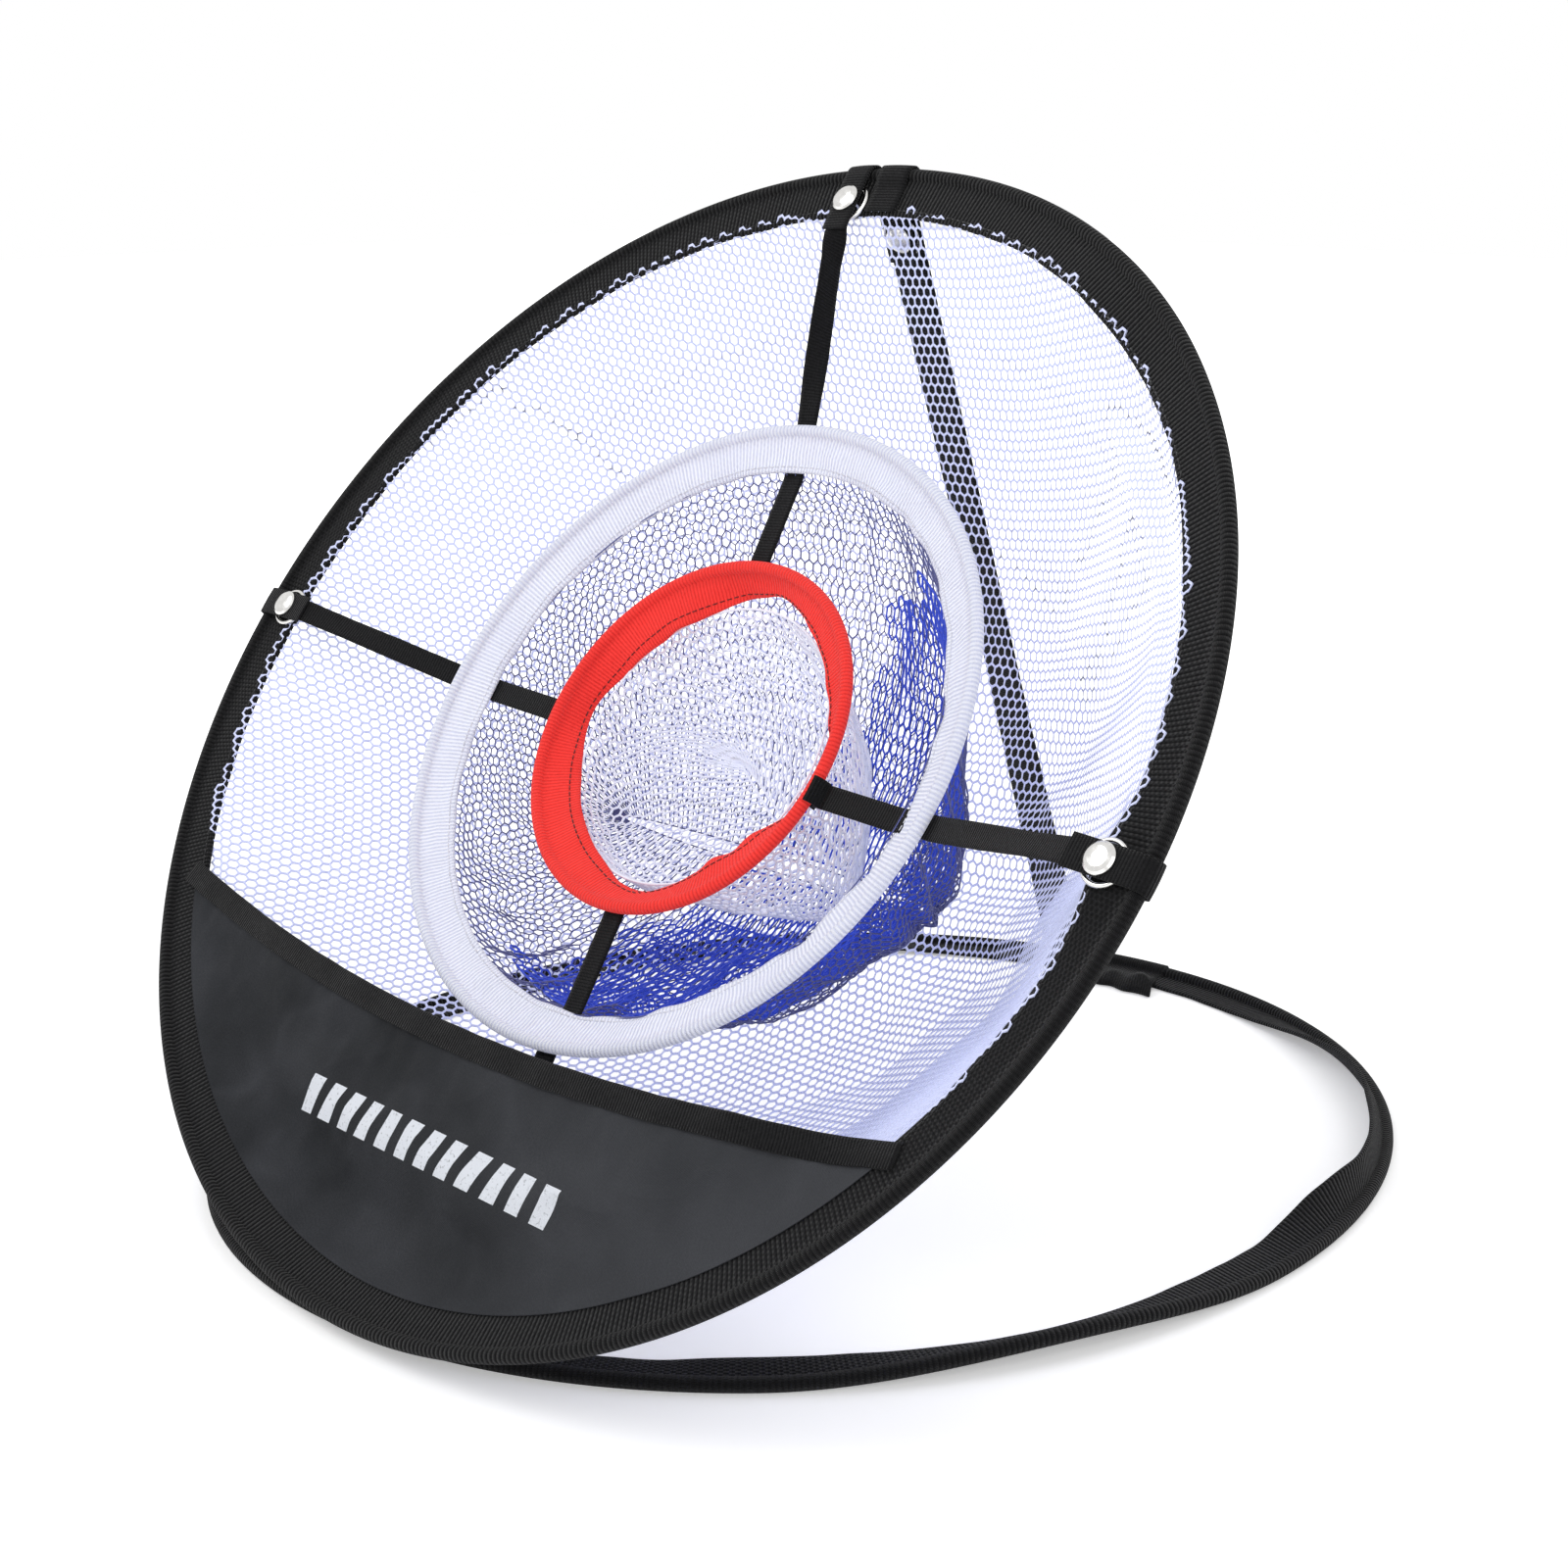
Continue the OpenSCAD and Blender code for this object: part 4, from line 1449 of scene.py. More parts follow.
@dataclass(kw_only=True)
class OuterNet(SubAssembly):
    """The big white pocket: a flat net drawn back and gathered into the hoop.

    Its depths are rows of a radius and how far the net lies behind the hoop
    there, and its bands are how far along the net from its middle each ends.
    """

    pitch: float = 0.0048
    strand: float = 0.0012
    edge: float = 0.2356
    hidden_edge: float = 0.2325
    ragged: float = 0.003
    pleat: float = 0.003
    crease: float = 0.0028
    sag: float = 0.008
    panel_gap: float = 0.0042
    squashed: float = 0.4
    depths: tuple[tuple[float, float], ...] = (
        (0.0, 0.142),
        (0.05, 0.141),
        (0.085, 0.134),
        (0.115, 0.121),
        (0.145, 0.098),
        (0.17, 0.0725),
        (0.19, 0.0505),
        (0.205, 0.033),
        (0.218, 0.0175),
        (0.2285, 0.004),
        (0.231, -0.0002),
        (0.234, -0.0016),
        (0.25, -0.0016),
    )
    bands: tuple[tuple[str, float], ...] = (
        ("outer_net_end", 0.170),
        ("outer_net_wall", 0.240),
        ("outer_net_rim", 0.4),
    )

    def profile(self) -> list[tuple[float, float, float]]:
        """The pocket's shape from its middle to the hoop.

        Returns:
            Rows of a length along the net, and the radius and depth there.
        """
        rows = [(0.0, *self.depths[0])]
        for (near, shallow), (far, deep) in zip(self.depths, self.depths[1:]):
            rows.append((rows[-1][0] + math.hypot(far - near, deep - shallow), far, deep))
        return rows

    def place(self, length: float, angle: float, profile: Sequence[Sequence[float]]) -> Vector:
        """A point of the pocket.

        Args:
            length: along the net from its middle.
            angle: round the hoop.
            profile: what profile() gives.

        Returns:
            The point, in the row's frame.
        """
        radius, depth = along(profile, length)
        inside = smooth(0.230, 0.20, radius) * smooth(0.0, 0.08, radius)
        folds = self.pleat * sin(angle * 15) * lump(angle, 5, 36)
        folds += self.crease * ring_ripple(angle, 26, radius / 0.2)
        sag = self.sag * smooth(-1, 1, -sin(angle))
        depth += (folds + sag) * inside
        depth += skirt_depth(angle, radius) * smooth(0.205, 0.2285, radius)
        depth += self.panel_gap * under_panel(angle) * smooth(0.227, 0.231, radius)
        return LAYOUT.hoop() @ polar(angle, radius, -depth)

    def cells(self, profile: Sequence[Sequence[float]]) -> bmesh.types.BMesh:
        """Lays the flat net and cuts its ragged edge.

        Args:
            profile: what profile() gives.

        Returns:
            The net's cells, flat and round the origin.
        """
        by_radius = [(radius, length) for length, radius, _ in profile]
        spacing = self.pitch / 2
        rise = self.pitch * math.sqrt(3) / 2
        reach = along(by_radius, self.edge)[0] + self.pitch
        columns = 2 * round(reach / spacing)
        rows = 2 * round(reach / rise)

        def flat(u: float, v: float) -> Vector:
            """A place of the flat net."""
            return Vector(((u - 0.5) * columns * spacing, (v - 0.5) * rows * rise, 0))

        def limit(angle: float) -> float:
            """How far along the net its ragged edge is cut, at an angle."""
            bare = self.edge + self.ragged * ring_ripple(angle, 290)
            return along(by_radius, mix(bare, self.hidden_edge, under_panel(angle)))[0]

        bm = hex_grid(columns, rows, False, flat)
        out = []
        for face in bm.faces:
            middle = face.calc_center_median()
            furthest = max(vert.co.length for vert in face.verts)
            if furthest > limit(math.degrees(math.atan2(middle.y, middle.x))):
                out.append(face)
        bmesh.ops.delete(bm, geom=out, context="FACES")
        return bm

    def build(self) -> None:
        """Knits the pocket once, and parts it into bands from its end to the hoop."""
        profile = self.profile()
        bm = self.cells(profile)
        number = bm.verts.layers.int.new("band")
        for vert in bm.verts:
            vert[number] = sum(vert.co.length > end for _, end in self.bands)
            angle = math.degrees(math.atan2(vert.co.y, vert.co.x))
            vert.co = self.place(vert.co.length, angle, profile)
        knit(bm, self.strand)
        for index, (name, _) in enumerate(self.bands):
            band = bm.copy()
            number = band.verts.layers.int["band"]
            others = [f for f in band.faces if max(v[number] for v in f.verts) != index]
            bmesh.ops.delete(band, geom=others, context="FACES")
            cut = [edge for edge in band.edges if edge.is_boundary]
            bmesh.ops.holes_fill(band, edges=cut, sides=0)
            piece = finished(name, band)
            self.dresser.dress(piece, WHITE_MESH, Slot.WHITE_NET, nodes=["outer_net"])
            fold_flat(piece, self.squashed)
        bm.free()


def fold_flat(piece: Piece, keep: float) -> None:
    """Gives a net its own copy of its mesh."""
    LAYOUT.normal()
    LAYOUT.hoop().translation
    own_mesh(piece)


@dataclass(kw_only=True)
class TubeNet(SubAssembly):
    """A pocket knitted round a target ring and closed by a straight seam.

    Its rings are rows of a share of its depth, how far the net hangs there,
    its width and height as shares of its mouth's, a turn and a slide sideways.
    """

    name: str
    node: str = "blue_net"
    finish: ThreadFinish
    slot: Slot = Slot.BLUE_NET
    mouth: float = 0.1205
    mouth_depth: float
    end_depth: float
    pitch: float = 0.0042
    strand: float = 0.00105
    rings: tuple[tuple[float, ...], ...]
    pleats: float
    loose: float = 0.0
    billow: float = 0.004
    sector: tuple[float, float] | None = None
    torn: float = 14.0
    spare_length: float = 1.18
    squashed: float = 0.45

    def place(self, u: float, v: float) -> Vector:
        """A point of the pocket.

        Args:
            u: the share round it.
            v: the share back from its mouth.

        Returns:
            The point, in the row's frame.
        """
        angle = 360 * u
        drop, wide, tall, turn, slide = along(self.rings, v)
        depth = mix(self.mouth_depth, self.end_depth, v)
        x, y = self.mouth * wide * cos(angle), self.mouth * tall * sin(angle)
        slack = smooth(0, 0.25, v) * smooth(1.02, 0.8, v)
        pleat = ring_ripple(angle, 45, 4.0 + 2.3 * v) + 0.6 * ring_ripple(angle, 103, v)
        pleat *= self.pleats * slack * (1 + self.loose * lump(angle, 290, 75))
        x += pleat * cos(angle)
        y += pleat * sin(angle)
        depth += self.billow * slack * ring_ripple(angle, 12, v * 2)
        x, y = x * cos(turn) - y * sin(turn), x * sin(turn) + y * cos(turn)
        return LAYOUT.target() @ Vector((slide + x, drop + y, -depth))

    def outside(self, face: bmesh.types.BMFace, inward: Matrix) -> bool:
        """Whether a cell lies outside the sector that the net covers.

        Args:
            face: the cell.
            inward: the matrix that carries the row's frame to the target's.

        Returns:
            True where the cell is to go.
        """
        middle = inward @ face.calc_center_median()
        angle = math.degrees(math.atan2(middle.y + 0.02, middle.x))
        ragged = self.torn * ripple(middle.z * 90, 3.0)
        return not self.sector[0] + ragged <= angle <= self.sector[1] + ragged

    def build(self) -> None:
        """Builds the pocket, or the sector of it that this net covers."""
        columns = 2 * round(2 * math.pi * self.mouth / self.pitch)
        length = (self.end_depth - self.mouth_depth) * self.spare_length
        rows = round(length / (self.pitch * math.sqrt(3) / 2))
        bm = hex_grid(columns, rows, True, self.place)
        if self.sector:
            inward = LAYOUT.target().inverted()
            out = [face for face in bm.faces if self.outside(face, inward)]
            bmesh.ops.delete(bm, geom=out, context="FACES")
        knit(bm, self.strand)
        piece = finished(self.name, bm)
        self.dresser.dress(piece, self.finish, self.slot, nodes=[self.node])
        fold_flat(piece, self.squashed)


def target_nets(dresser: Dresser) -> list[TubeNet]:
    """The nets behind the targets: the blue one with its two laps, and the inner one.

    Args:
        dresser: what dresses them.

    Returns:
        The nets, from the outside in.
    """
    blue = TubeNet(
        dresser=dresser,
        name="blue_net_mesh",
        # The deep pocket takes the darker copy of the blue net's colour: painted shade.
        finish=SHADED_BLUE_MESH,
        mouth_depth=0.0285,
        end_depth=0.104,
        pitch=0.0046,
        strand=0.0007,
        pleats=0.0028,
        loose=1.6,
        rings=(
            (0.0, 0.0, 1.0, 1.0, 0.0, 0.0),
            (0.2, -0.004, 1.0, 0.94, 0.0, 0.0),
            (0.4, -0.010, 0.99, 0.83, 0.0, 0.0),
            (0.6, -0.016, 0.96, 0.66, 0.0, 0.0),
            (0.8, -0.020, 0.90, 0.42, 0.0, 0.0),
            (0.93, -0.022, 0.82, 0.2, 0.0, 0.0),
            (1.0, -0.022, 0.76, 0.03, 0.0, 0.0),
        ),
    )
    fold = TubeNet(
        dresser=dresser,
        name="blue_net_fold",
        finish=BLUE_MESH,
        mouth_depth=0.044,
        end_depth=0.103,
        pleats=0.004,
        sector=(-118, 64),
        rings=(
            (0.0, -0.004, 0.985, 0.93, 0.0, 0.0),
            (0.25, -0.010, 0.975, 0.82, 0.0, 0.0),
            (0.5, -0.016, 0.94, 0.64, 0.0, 0.0),
            (0.8, -0.020, 0.86, 0.36, 0.0, 0.0),
            (1.0, -0.022, 0.74, 0.05, 0.0, 0.0),
        ),
    )
    lap = TubeNet(
        dresser=dresser,
        name="blue_net_lap",
        finish=BLUE_MESH,
        mouth_depth=0.042,
        end_depth=0.096,
        pleats=0.005,
        sector=(-104, -4),
        rings=(
            (0.0, -0.006, 0.965, 0.915, 0.0, 0.0),
            (0.3, -0.015, 0.95, 0.78, 0.0, 0.0),
            (0.6, -0.019, 0.90, 0.56, 0.0, 0.0),
            (1.0, -0.021, 0.80, 0.28, 0.0, 0.0),
        ),
    )
    inner = TubeNet(
        dresser=dresser,
        name="inner_net_mesh",
        node="inner_net",
        finish=THICK_MESH,
        slot=Slot.WHITE_NET,
        mouth=0.0612,
        mouth_depth=0.0375,
        end_depth=0.086,
        strand=0.00125,
        pleats=0.0014,
        rings=(
            (0.0, 0.0, 1.0, 1.0, 0.0, 0.0),
            (0.25, -0.004, 1.02, 0.93, 0.0, 0.006),
            (0.5, -0.009, 1.04, 0.76, -12.0, 0.014),
            (0.75, -0.013, 1.0, 0.46, -22.0, 0.020),
            (0.92, -0.016, 0.93, 0.18, -28.0, 0.023),
            (1.0, -0.016, 0.88, 0.03, -30.0, 0.024),
        ),
    )
    return [blue, fold, lap, inner]


# Panel --------------------------------------------------------------------


@dataclass(kw_only=True)
class FrontPanel(SubAssembly):
    """The cloth across the lower front, and the tape that binds its top edge."""

    radius: float = 0.236
    top: float = 0.137
    sag: float = 0.018
    skirt_radius: float = 0.232
    thickness: float = 0.0005
    columns: int = 300
    rows: int = 130
    swell: float = 0.0022
    dent: float = 0.001
    furrow: float = 0.0022
    pull: float = 0.0012
    pucker: float = 0.0007
    gather: float = 0.0009
    rim_lift: float = 0.0018
    bind: float = 0.010
    bind_steps: int = 260
    bind_length: float = 0.998
    bind_girth: float = 0.024
    bind_wave: float = 0.0008
    bind_half: tuple[float, float] = (0.0008, 0.0014)

    def edge_radius(self) -> float:
        """Radius of the sagging top edge."""
        reach = self.skirt_radius**2 - self.top**2 + self.sag**2
        return reach / (2 * self.sag)

    def edge(self, x: float) -> Vector:
        """A point of the top edge."""
        bow = self.edge_radius()
        return Vector((x, bow - self.top - math.sqrt(bow**2 - x**2), 0))

    def half_span(self) -> float:
        """Half of the length of the top edge.

        Returns:
            How far from the middle it meets the panel's own rim.
        """
        x = self.skirt_radius
        for _ in range(20):
            x = math.sqrt(self.radius**2 - self.edge(x).y ** 2)
        return x

    def crease(self, x: float, y: float) -> float:
        """Height of the cloth's wrinkles.

        Args:
            x: the place across the panel.
            y: the place up the hoop.

        Returns:
            The height out of the hoop's plane.
        """
        below = self.edge(x).y - y
        rim = self.radius - math.hypot(x, y)
        inside = smooth(0.0, 0.03, below) * smooth(0.004, 0.04, rim)
        broad = self.swell * ripple(x / 0.055, y / 0.04, 0.7)
        broad += self.dent * ripple(x / 0.022 + y / 0.05, y / 0.03, 4.1)
        furrow = abs(ripple(x / 0.06 - y / 0.09, y / 0.05 + x / 0.11, 8.3))
        broad -= self.furrow * furrow**0.6
        pull = abs(ripple(x / 0.05 + y / 0.12, y / 0.075 - x / 0.1, 5.9))
        broad += self.pull * max(0.0, 1 - pull / 0.22) ** 1.5
        pucker = self.pucker * ripple(x / 0.007, below / 0.04, 2.0) * smooth(0.05, 0.008, below)
        angle = math.degrees(math.atan2(y, x))
        gather = self.gather * ripple(angle / 2.6, rim / 0.03, 6.0) * smooth(0.05, 0.01, rim)
        return broad * inside + (pucker + gather) * smooth(0.0, 0.006, rim - 0.003)

    def dish(self, x: float, y: float) -> float:
        """How the cloth's rim is drawn back to the hoop's skirt.

        Args:
            x: the place across the panel.
            y: the place up the hoop.

        Returns:
            The height out of the hoop's plane.
        """
        radius = math.hypot(x, y)
        drawn = self.rim_lift - skirt_depth(math.degrees(math.atan2(y, x)), radius)
        return drawn * smooth(0.185, 0.234, radius)

    def area(self, span: float, strips: int = 400) -> float:
        """The flat area of the cloth.

        Args:
            span: half of its length.
            strips: how many strips it is summed in.

        Returns:
            The area in square metres.
        """
        return math.fsum(
            (self.edge(x).y + math.sqrt(self.radius**2 - x**2)) * 2 * span / strips
            for x in (mix(-span, span, (i + 0.5) / strips) for i in range(strips))
        )

    def build(self) -> None:
        """Builds the panel and its binding."""
        span = self.half_span()

        def flat(u: float, v: float) -> tuple[float, float]:
            """A place on the flat panel.

            Args:
                u: the share along it.
                v: the share up it.

            Returns:
                Its place across the panel and up the hoop.
            """
            x = span * sin(90 * (2 * u - 1))
            foot = -math.sqrt(max(self.radius**2 - x**2, 0.0))
            return x, mix(foot, self.edge(x).y - 0.001, v)

        def place(u: float, v: float) -> Vector:
            """A point of the panel."""
            x, y = flat(u, v)
            return LAYOUT.hoop() @ Vector((x, y, self.crease(x, y) + self.dish(x, y)))

        bm = cloth_grid(self.columns, self.rows, place, (1, 1), chart=flat)
        cloth = layer("front_panel_cloth", bm, self.thickness)
        self.dresser.dress(cloth, PANEL_CLOTH, Slot.PANEL, nodes=["front_panel"])
        binding = self.binding(span)
        self.radius + self.edge(0).y
        self.area(span)

    def binding(self, span: float) -> Piece:
        """Builds the tape folded over the panel's top edge.

        Args:
            span: half of the panel's length.

        Returns:
            The tape, as an object.
        """
        corners = [(0.0, -1.0), (0.5, -1.0), (0.88, -1.0), (0.985, -0.7), (1.0, 0.0)]
        front = [(1 - a, b) for a, b in corners]
        outline = [(a, -b) for a, b in front] + list(reversed(front[:-1]))

        def corner(u: float, row: int) -> Vector:
            """A point of the binding.

            Args:
                u: the share along it.
                row: the corner of its section.

            Returns:
                The point.
            """
            share, side = outline[row]
            x = mix(-span, span, u) * self.bind_length
            edge = self.edge(x)
            down = Vector((x, edge.y - self.edge_radius() + self.top, 0)).normalized()
            rim = smooth(0.236, 0.222, edge.length)
            half = mix(*self.bind_half, rim)
            wave = self.bind_wave * ripple(x / 0.016, share * 2, 1.7) * rim
            spot = edge + down * self.bind * (share + 0.02 * ripple(x / 0.011, 5.0))
            lift = side * half + wave + self.dish(spot.x, spot.y)
            return LAYOUT.hoop() @ (spot + Vector((0, 0, lift)))

        size = (2 * span, self.bind_girth)
        piece = tube("panel_binding_tape", self.bind_steps, len(outline), size, corner)
        return self.dresser.dress(piece, BLACK_STRAP, Slot.BLACK, nodes=["panel_binding"])


# Straps -------------------------------------------------------------------


def hoop_knot(angle: float, radius: float, height: float, twist: float = 0.0) -> Knot:
    """A knot of a route that runs in a plane through the middle of the hoop.

    Args:
        angle: round the hoop.
        radius: from its middle.
        height: out of its front.
        twist: how far the strap is turned about its own length.

    Returns:
        The knot.
    """
    flat = LAYOUT.hoop().to_3x3() @ Vector((-sin(angle), cos(angle), 0))
    across = flat * cos(twist) + LAYOUT.normal() * sin(twist)
    return Knot(LAYOUT.hoop() @ polar(angle, radius, height), across)


def hoop_knots(angle: float, path: Sequence[tuple[float, float]]) -> list[Knot]:
    """The knots of a flat route, from its rows of a radius and a height."""
    return [hoop_knot(angle, radius, height) for radius, height in path]


@dataclass(frozen=True)
class Fitting:
    """A place where a target strap is held to the hoop.

    Its twists are rows of a radius and how far the strap is turned there.
    """

    side: str
    angle: float
    twists: tuple[tuple[float, float], ...]


@dataclass(kw_only=True)
class TargetStraps(SubAssembly):
    """The four straps that carry the two targets, and the tabs that hold them."""

    width: float = 0.0098
    thickness: float = 0.001
    tab_width: float = 0.0124
    tab_ease: float = 0.0015
    fold_over: float = 0.0006
    bottom: float = -83.0
    fittings: tuple[Fitting, ...] = (
        Fitting("top", 94.8, ((0.223, 0), (0.214, 72), (0.195, 70), (0.165, 20), (0.15, 0))),
        Fitting("left", 178.3, ((0.223, 0), (0.2, 12), (0.16, -6), (0.14, 0))),
        Fitting("right", -2.3, ((0.223, 0), (0.2, -14), (0.16, 8), (0.14, 0))),
    )
    outer_path: tuple[tuple[float, float], ...] = ((0.241, 0.004), (0.223, 0.004))
    gap_radii: tuple[float, ...] = (0.218, 0.21, 0.2, 0.185, 0.17, 0.155, 0.147)
    inner_path: tuple[tuple[float, float], ...] = (
        (0.1395, -0.0256),
        (0.1333, -0.0256),
        (0.1185, -0.0303),
        (0.0790, -0.0316),
        (0.0728, -0.0316),
        (0.0726, -0.0365),
    )
    sewn_gaps: tuple[tuple[float, float], ...] = (
        (0.238, 0.0019),
        (0.232, 0.0021),
        (0.222, 0.0032),
        (0.205, 0.002),
    )
    fold_path: tuple[tuple[float, float], ...] = (
        (0.0805, -0.0306),
        (0.0796, -0.0288),
        (0.0791, -0.0264),
        (0.0780, -0.0250),
        (0.0764, -0.0247),
    )
    tab_path: tuple[tuple[float, float], ...] = (
        (0.2218, 0.0051),
        (0.2475, 0.0051),
        (0.2525, 0.0044),
        (0.2549, 0.0018),
        (0.2549, -0.0018),
        (0.2525, -0.0036),
        (0.2478, -0.0037),
        (0.2435, -0.0021),
        (0.2322, -0.0018),
    )

    def shift(self, angle: float) -> float:
        """How much further from the hoop's middle a target's edge lies at an angle."""
        return LAYOUT.target_x * cos(angle) + LAYOUT.target_y * sin(angle)

    def inner_route(self, angle: float) -> list[tuple[float, float]]:
        """Radii and heights from the white casing to the end at the red one."""
        return [(r + self.shift(angle), v) for r, v in self.inner_path]

    def build(self) -> None:
        """Builds the straps and the tabs."""
        for fitting in self.fittings:
            self.held_strap(fitting)
            tab = hoop_knots(fitting.angle, self.tab_path)
            name = f"tab_{fitting.side}"
            Strap(name, tab, self.tab_width, ease=self.tab_ease).build(self.dresser)
        sewn = [(r, -skirt_depth(self.bottom, r) - gap) for r, gap in self.sewn_gaps]
        self.strap("strap_bottom", hoop_knots(self.bottom, sewn + self.inner_route(self.bottom)))
        self.fold()

    def strap(self, name: str, knots: list[Knot]) -> None:
        """Builds a target strap along a route."""
        Strap(name, knots, self.width, self.thickness, steps=160).build(self.dresser)

    def held_strap(self, fitting: Fitting) -> None:
        """Builds a strap from its fitting on the hoop to the red ring.

        Args:
            fitting: where it is held.
        """
        outer, inner = list(self.outer_path), self.inner_route(fitting.angle)
        (start, high), (end, low) = outer[-1], inner[0]
        gap = [(r, mix(high, low, (start - r) / (start - end))) for r in self.gap_radii]
        turns = sorted(fitting.twists)
        knots = [
            hoop_knot(fitting.angle, r, v, along(turns, r)[0]) for r, v in outer + gap + inner
        ]
        self.strap(f"strap_{fitting.side}", knots)

    def fold(self) -> None:
        """Builds the end of the right strap, folded over the red ring."""
        angle = self.fittings[-1].angle
        knots = hoop_knots(angle, [(r + self.shift(angle), v) for r, v in self.fold_path])
        wide = self.width + self.fold_over
        Strap("strap_right_fold", knots, wide, steps=40, extra=True).build(self.dresser)


# Ground loop and spine ----------------------------------------------------


@dataclass(kw_only=True)
class GroundLoop(SubAssembly):
    """The oval casing on the ground, which twists as it goes round.

    Its twists are rows of an angle round the loop, how far the skirt stands up
    from the ground there, and how far the sprung wire arches off it.
    """

    width: float = 0.020
    bead: float = 0.003
    thickness: float = 0.0022
    drop: float = 0.0018
    run: float = 1.53
    steps: int = 720
    wander: float = 0.0006
    seam: float = 205.0
    sleeve_half: float = 0.017
    sleeve_bead: float = 0.001
    sleeve_thickness: float = 0.0034
    sleeve_drop: float = 0.0013
    sleeve_girth: float = 0.05
    sleeve_steps: int = 48
    frayed: float = 0.0012
    flap: float = 0.014
    flap_skew: float = 2.5
    flap_wave: float = 0.003
    flap_lift: float = 0.006
    foot: float = 212.35
    foot_width: float = 0.020
    hinge_width: float = 0.040
    twists: tuple[tuple[float, float, float], ...] = (
        (0, 0, 0),
        (50, 0, 0),
        (62, 8, 0),
        (88, -18, 0.006),
        (112, 8, 0),
        (132, 80, 0),
        (150, 64, 0),
        (190, 0, 0),
        (220, 0, 0),
        (250, 12, 0),
        (285, 0, 0),
        (315, 9, 0),
        (345, 0, 0),
        (360, 0, 0),
    )
    foot_path: tuple[tuple[float, float], ...] = (
        (0.0345, -0.0024),
        (0.0270, -0.0013),
        (0.0190, 0.0),
        (0.0048, 0.0002),
        (0.0038, 0.0023),
        (0.0020, 0.0037),
        (-0.0020, 0.0037),
        (-0.0037, 0.0019),
        (-0.0038, -0.0024),
    )
    hinge_low: tuple[tuple[float, float], ...] = (
        (0.0126, 0.0048),
        (0.0129, 0.0035),
        (0.0163, 0.0035),
    )
    hinge_high: tuple[float, float] = (0.020, 0.0085)
    hinge_behind: float = 0.0018

    def point(self, phi: float, inward: float, height: float) -> Vector:
        """A point of the casing's own section.

        Args:
            phi: the angle round the loop.
            inward: along the skirt, from the middle of the wire.
            height: out of the skirt.

        Returns:
            The point, which never lies under the ground.
        """
        lean, rise = along(self.twists, phi % 360, soft=True)
        side = inward * cos(lean) - height * sin(lean)
        up = self.bead + rise + inward * sin(lean) + height * cos(lean)
        spot = LAYOUT.loop_point(phi) + LAYOUT.loop_inward(phi) * side
        return Vector((spot.x, spot.y, max(up, 0.0)))

    def ahead(self, phi: float, step: float) -> Vector:
        """The way along the loop's wire, from a step before an angle to one after."""
        return LAYOUT.loop_point(phi + step) - LAYOUT.loop_point(phi - step)

    def build(self) -> None:
        """Builds the casing, the sleeve, the foot and the tape on the loop."""
        section = casing_section(self.width, self.bead, self.thickness, self.drop)

        def corner(u: float, row: int) -> Vector:
            """A point of the casing.

            Args:
                u: the share round the loop.
                row: the corner of the section.

            Returns:
                The point.
            """
            inward, height = section[row]
            phi = 360 * (u % 1)
            if inward > self.bead:
                inward += self.wander * ripple(phi / 4, 2.0) * (inward / self.width)
            return self.point(phi, inward, height)

        size = (self.run, girth(section))
        casing = tube("base_casing_tape", self.steps, len(section), size, corner)
        self.dresser.dress(casing, BLACK_TAPE, Slot.BLACK, Body.GROUND, ["base_casing"])
        self.sleeve()
        self.spine_foot()
        self.hinge_tape()

    def sleeve(self) -> None:
        """Builds the sleeve, whose ends are heat cut and whose flap lies loose."""
        wide, bead = self.width + self.flap, self.bead + self.sleeve_bead
        section = casing_section(wide, bead, self.sleeve_thickness, self.sleeve_drop)
        speed = self.ahead(self.seam, 0.5).length
        half = self.sleeve_half / speed

        def corner(u: float, row: int) -> Vector:
            """A point of the sleeve.

            Args:
                u: the share along the sleeve.
                row: the corner of its section.

            Returns:
                The point.
            """
            inward, height = section[row]
            wave = self.frayed * ripple(row * 0.7, 3.0 if u > 0.5 else 11.0) / speed
            phi = self.seam + half * (2 * u - 1) + wave * abs(2 * u - 1) ** 8
            loose = smooth(0.012, 0.03, inward)
            phi -= self.flap_skew * loose * (1 - u)
            inward += self.flap_wave * loose * ripple(u * 4, 2.0)
            lifted = self.flap_lift * loose * (1 - loose) * 4
            height += lifted * (0.6 + ripple(u * 3, 5.0))
            return self.point(phi, inward, height)

        size = (2 * self.sleeve_half, self.sleeve_girth)
        piece = tube("base_sleeve_webbing", self.sleeve_steps, len(section), size, corner)
        self.dresser.dress(piece, BLACK_STRAP, Slot.BLACK, Body.GROUND, ["base_sleeve"])

    def spine_foot(self) -> None:
        """Builds the folded end of the spine strap over the casing."""
        across = self.ahead(self.foot, 1).normalized()
        knots = [Knot(self.point(self.foot, a, b), across) for a, b in self.foot_path]
        strap = Strap("spine_foot", knots, self.foot_width, body=Body.GROUND, ease=0.001, steps=60)
        strap.build(self.dresser)

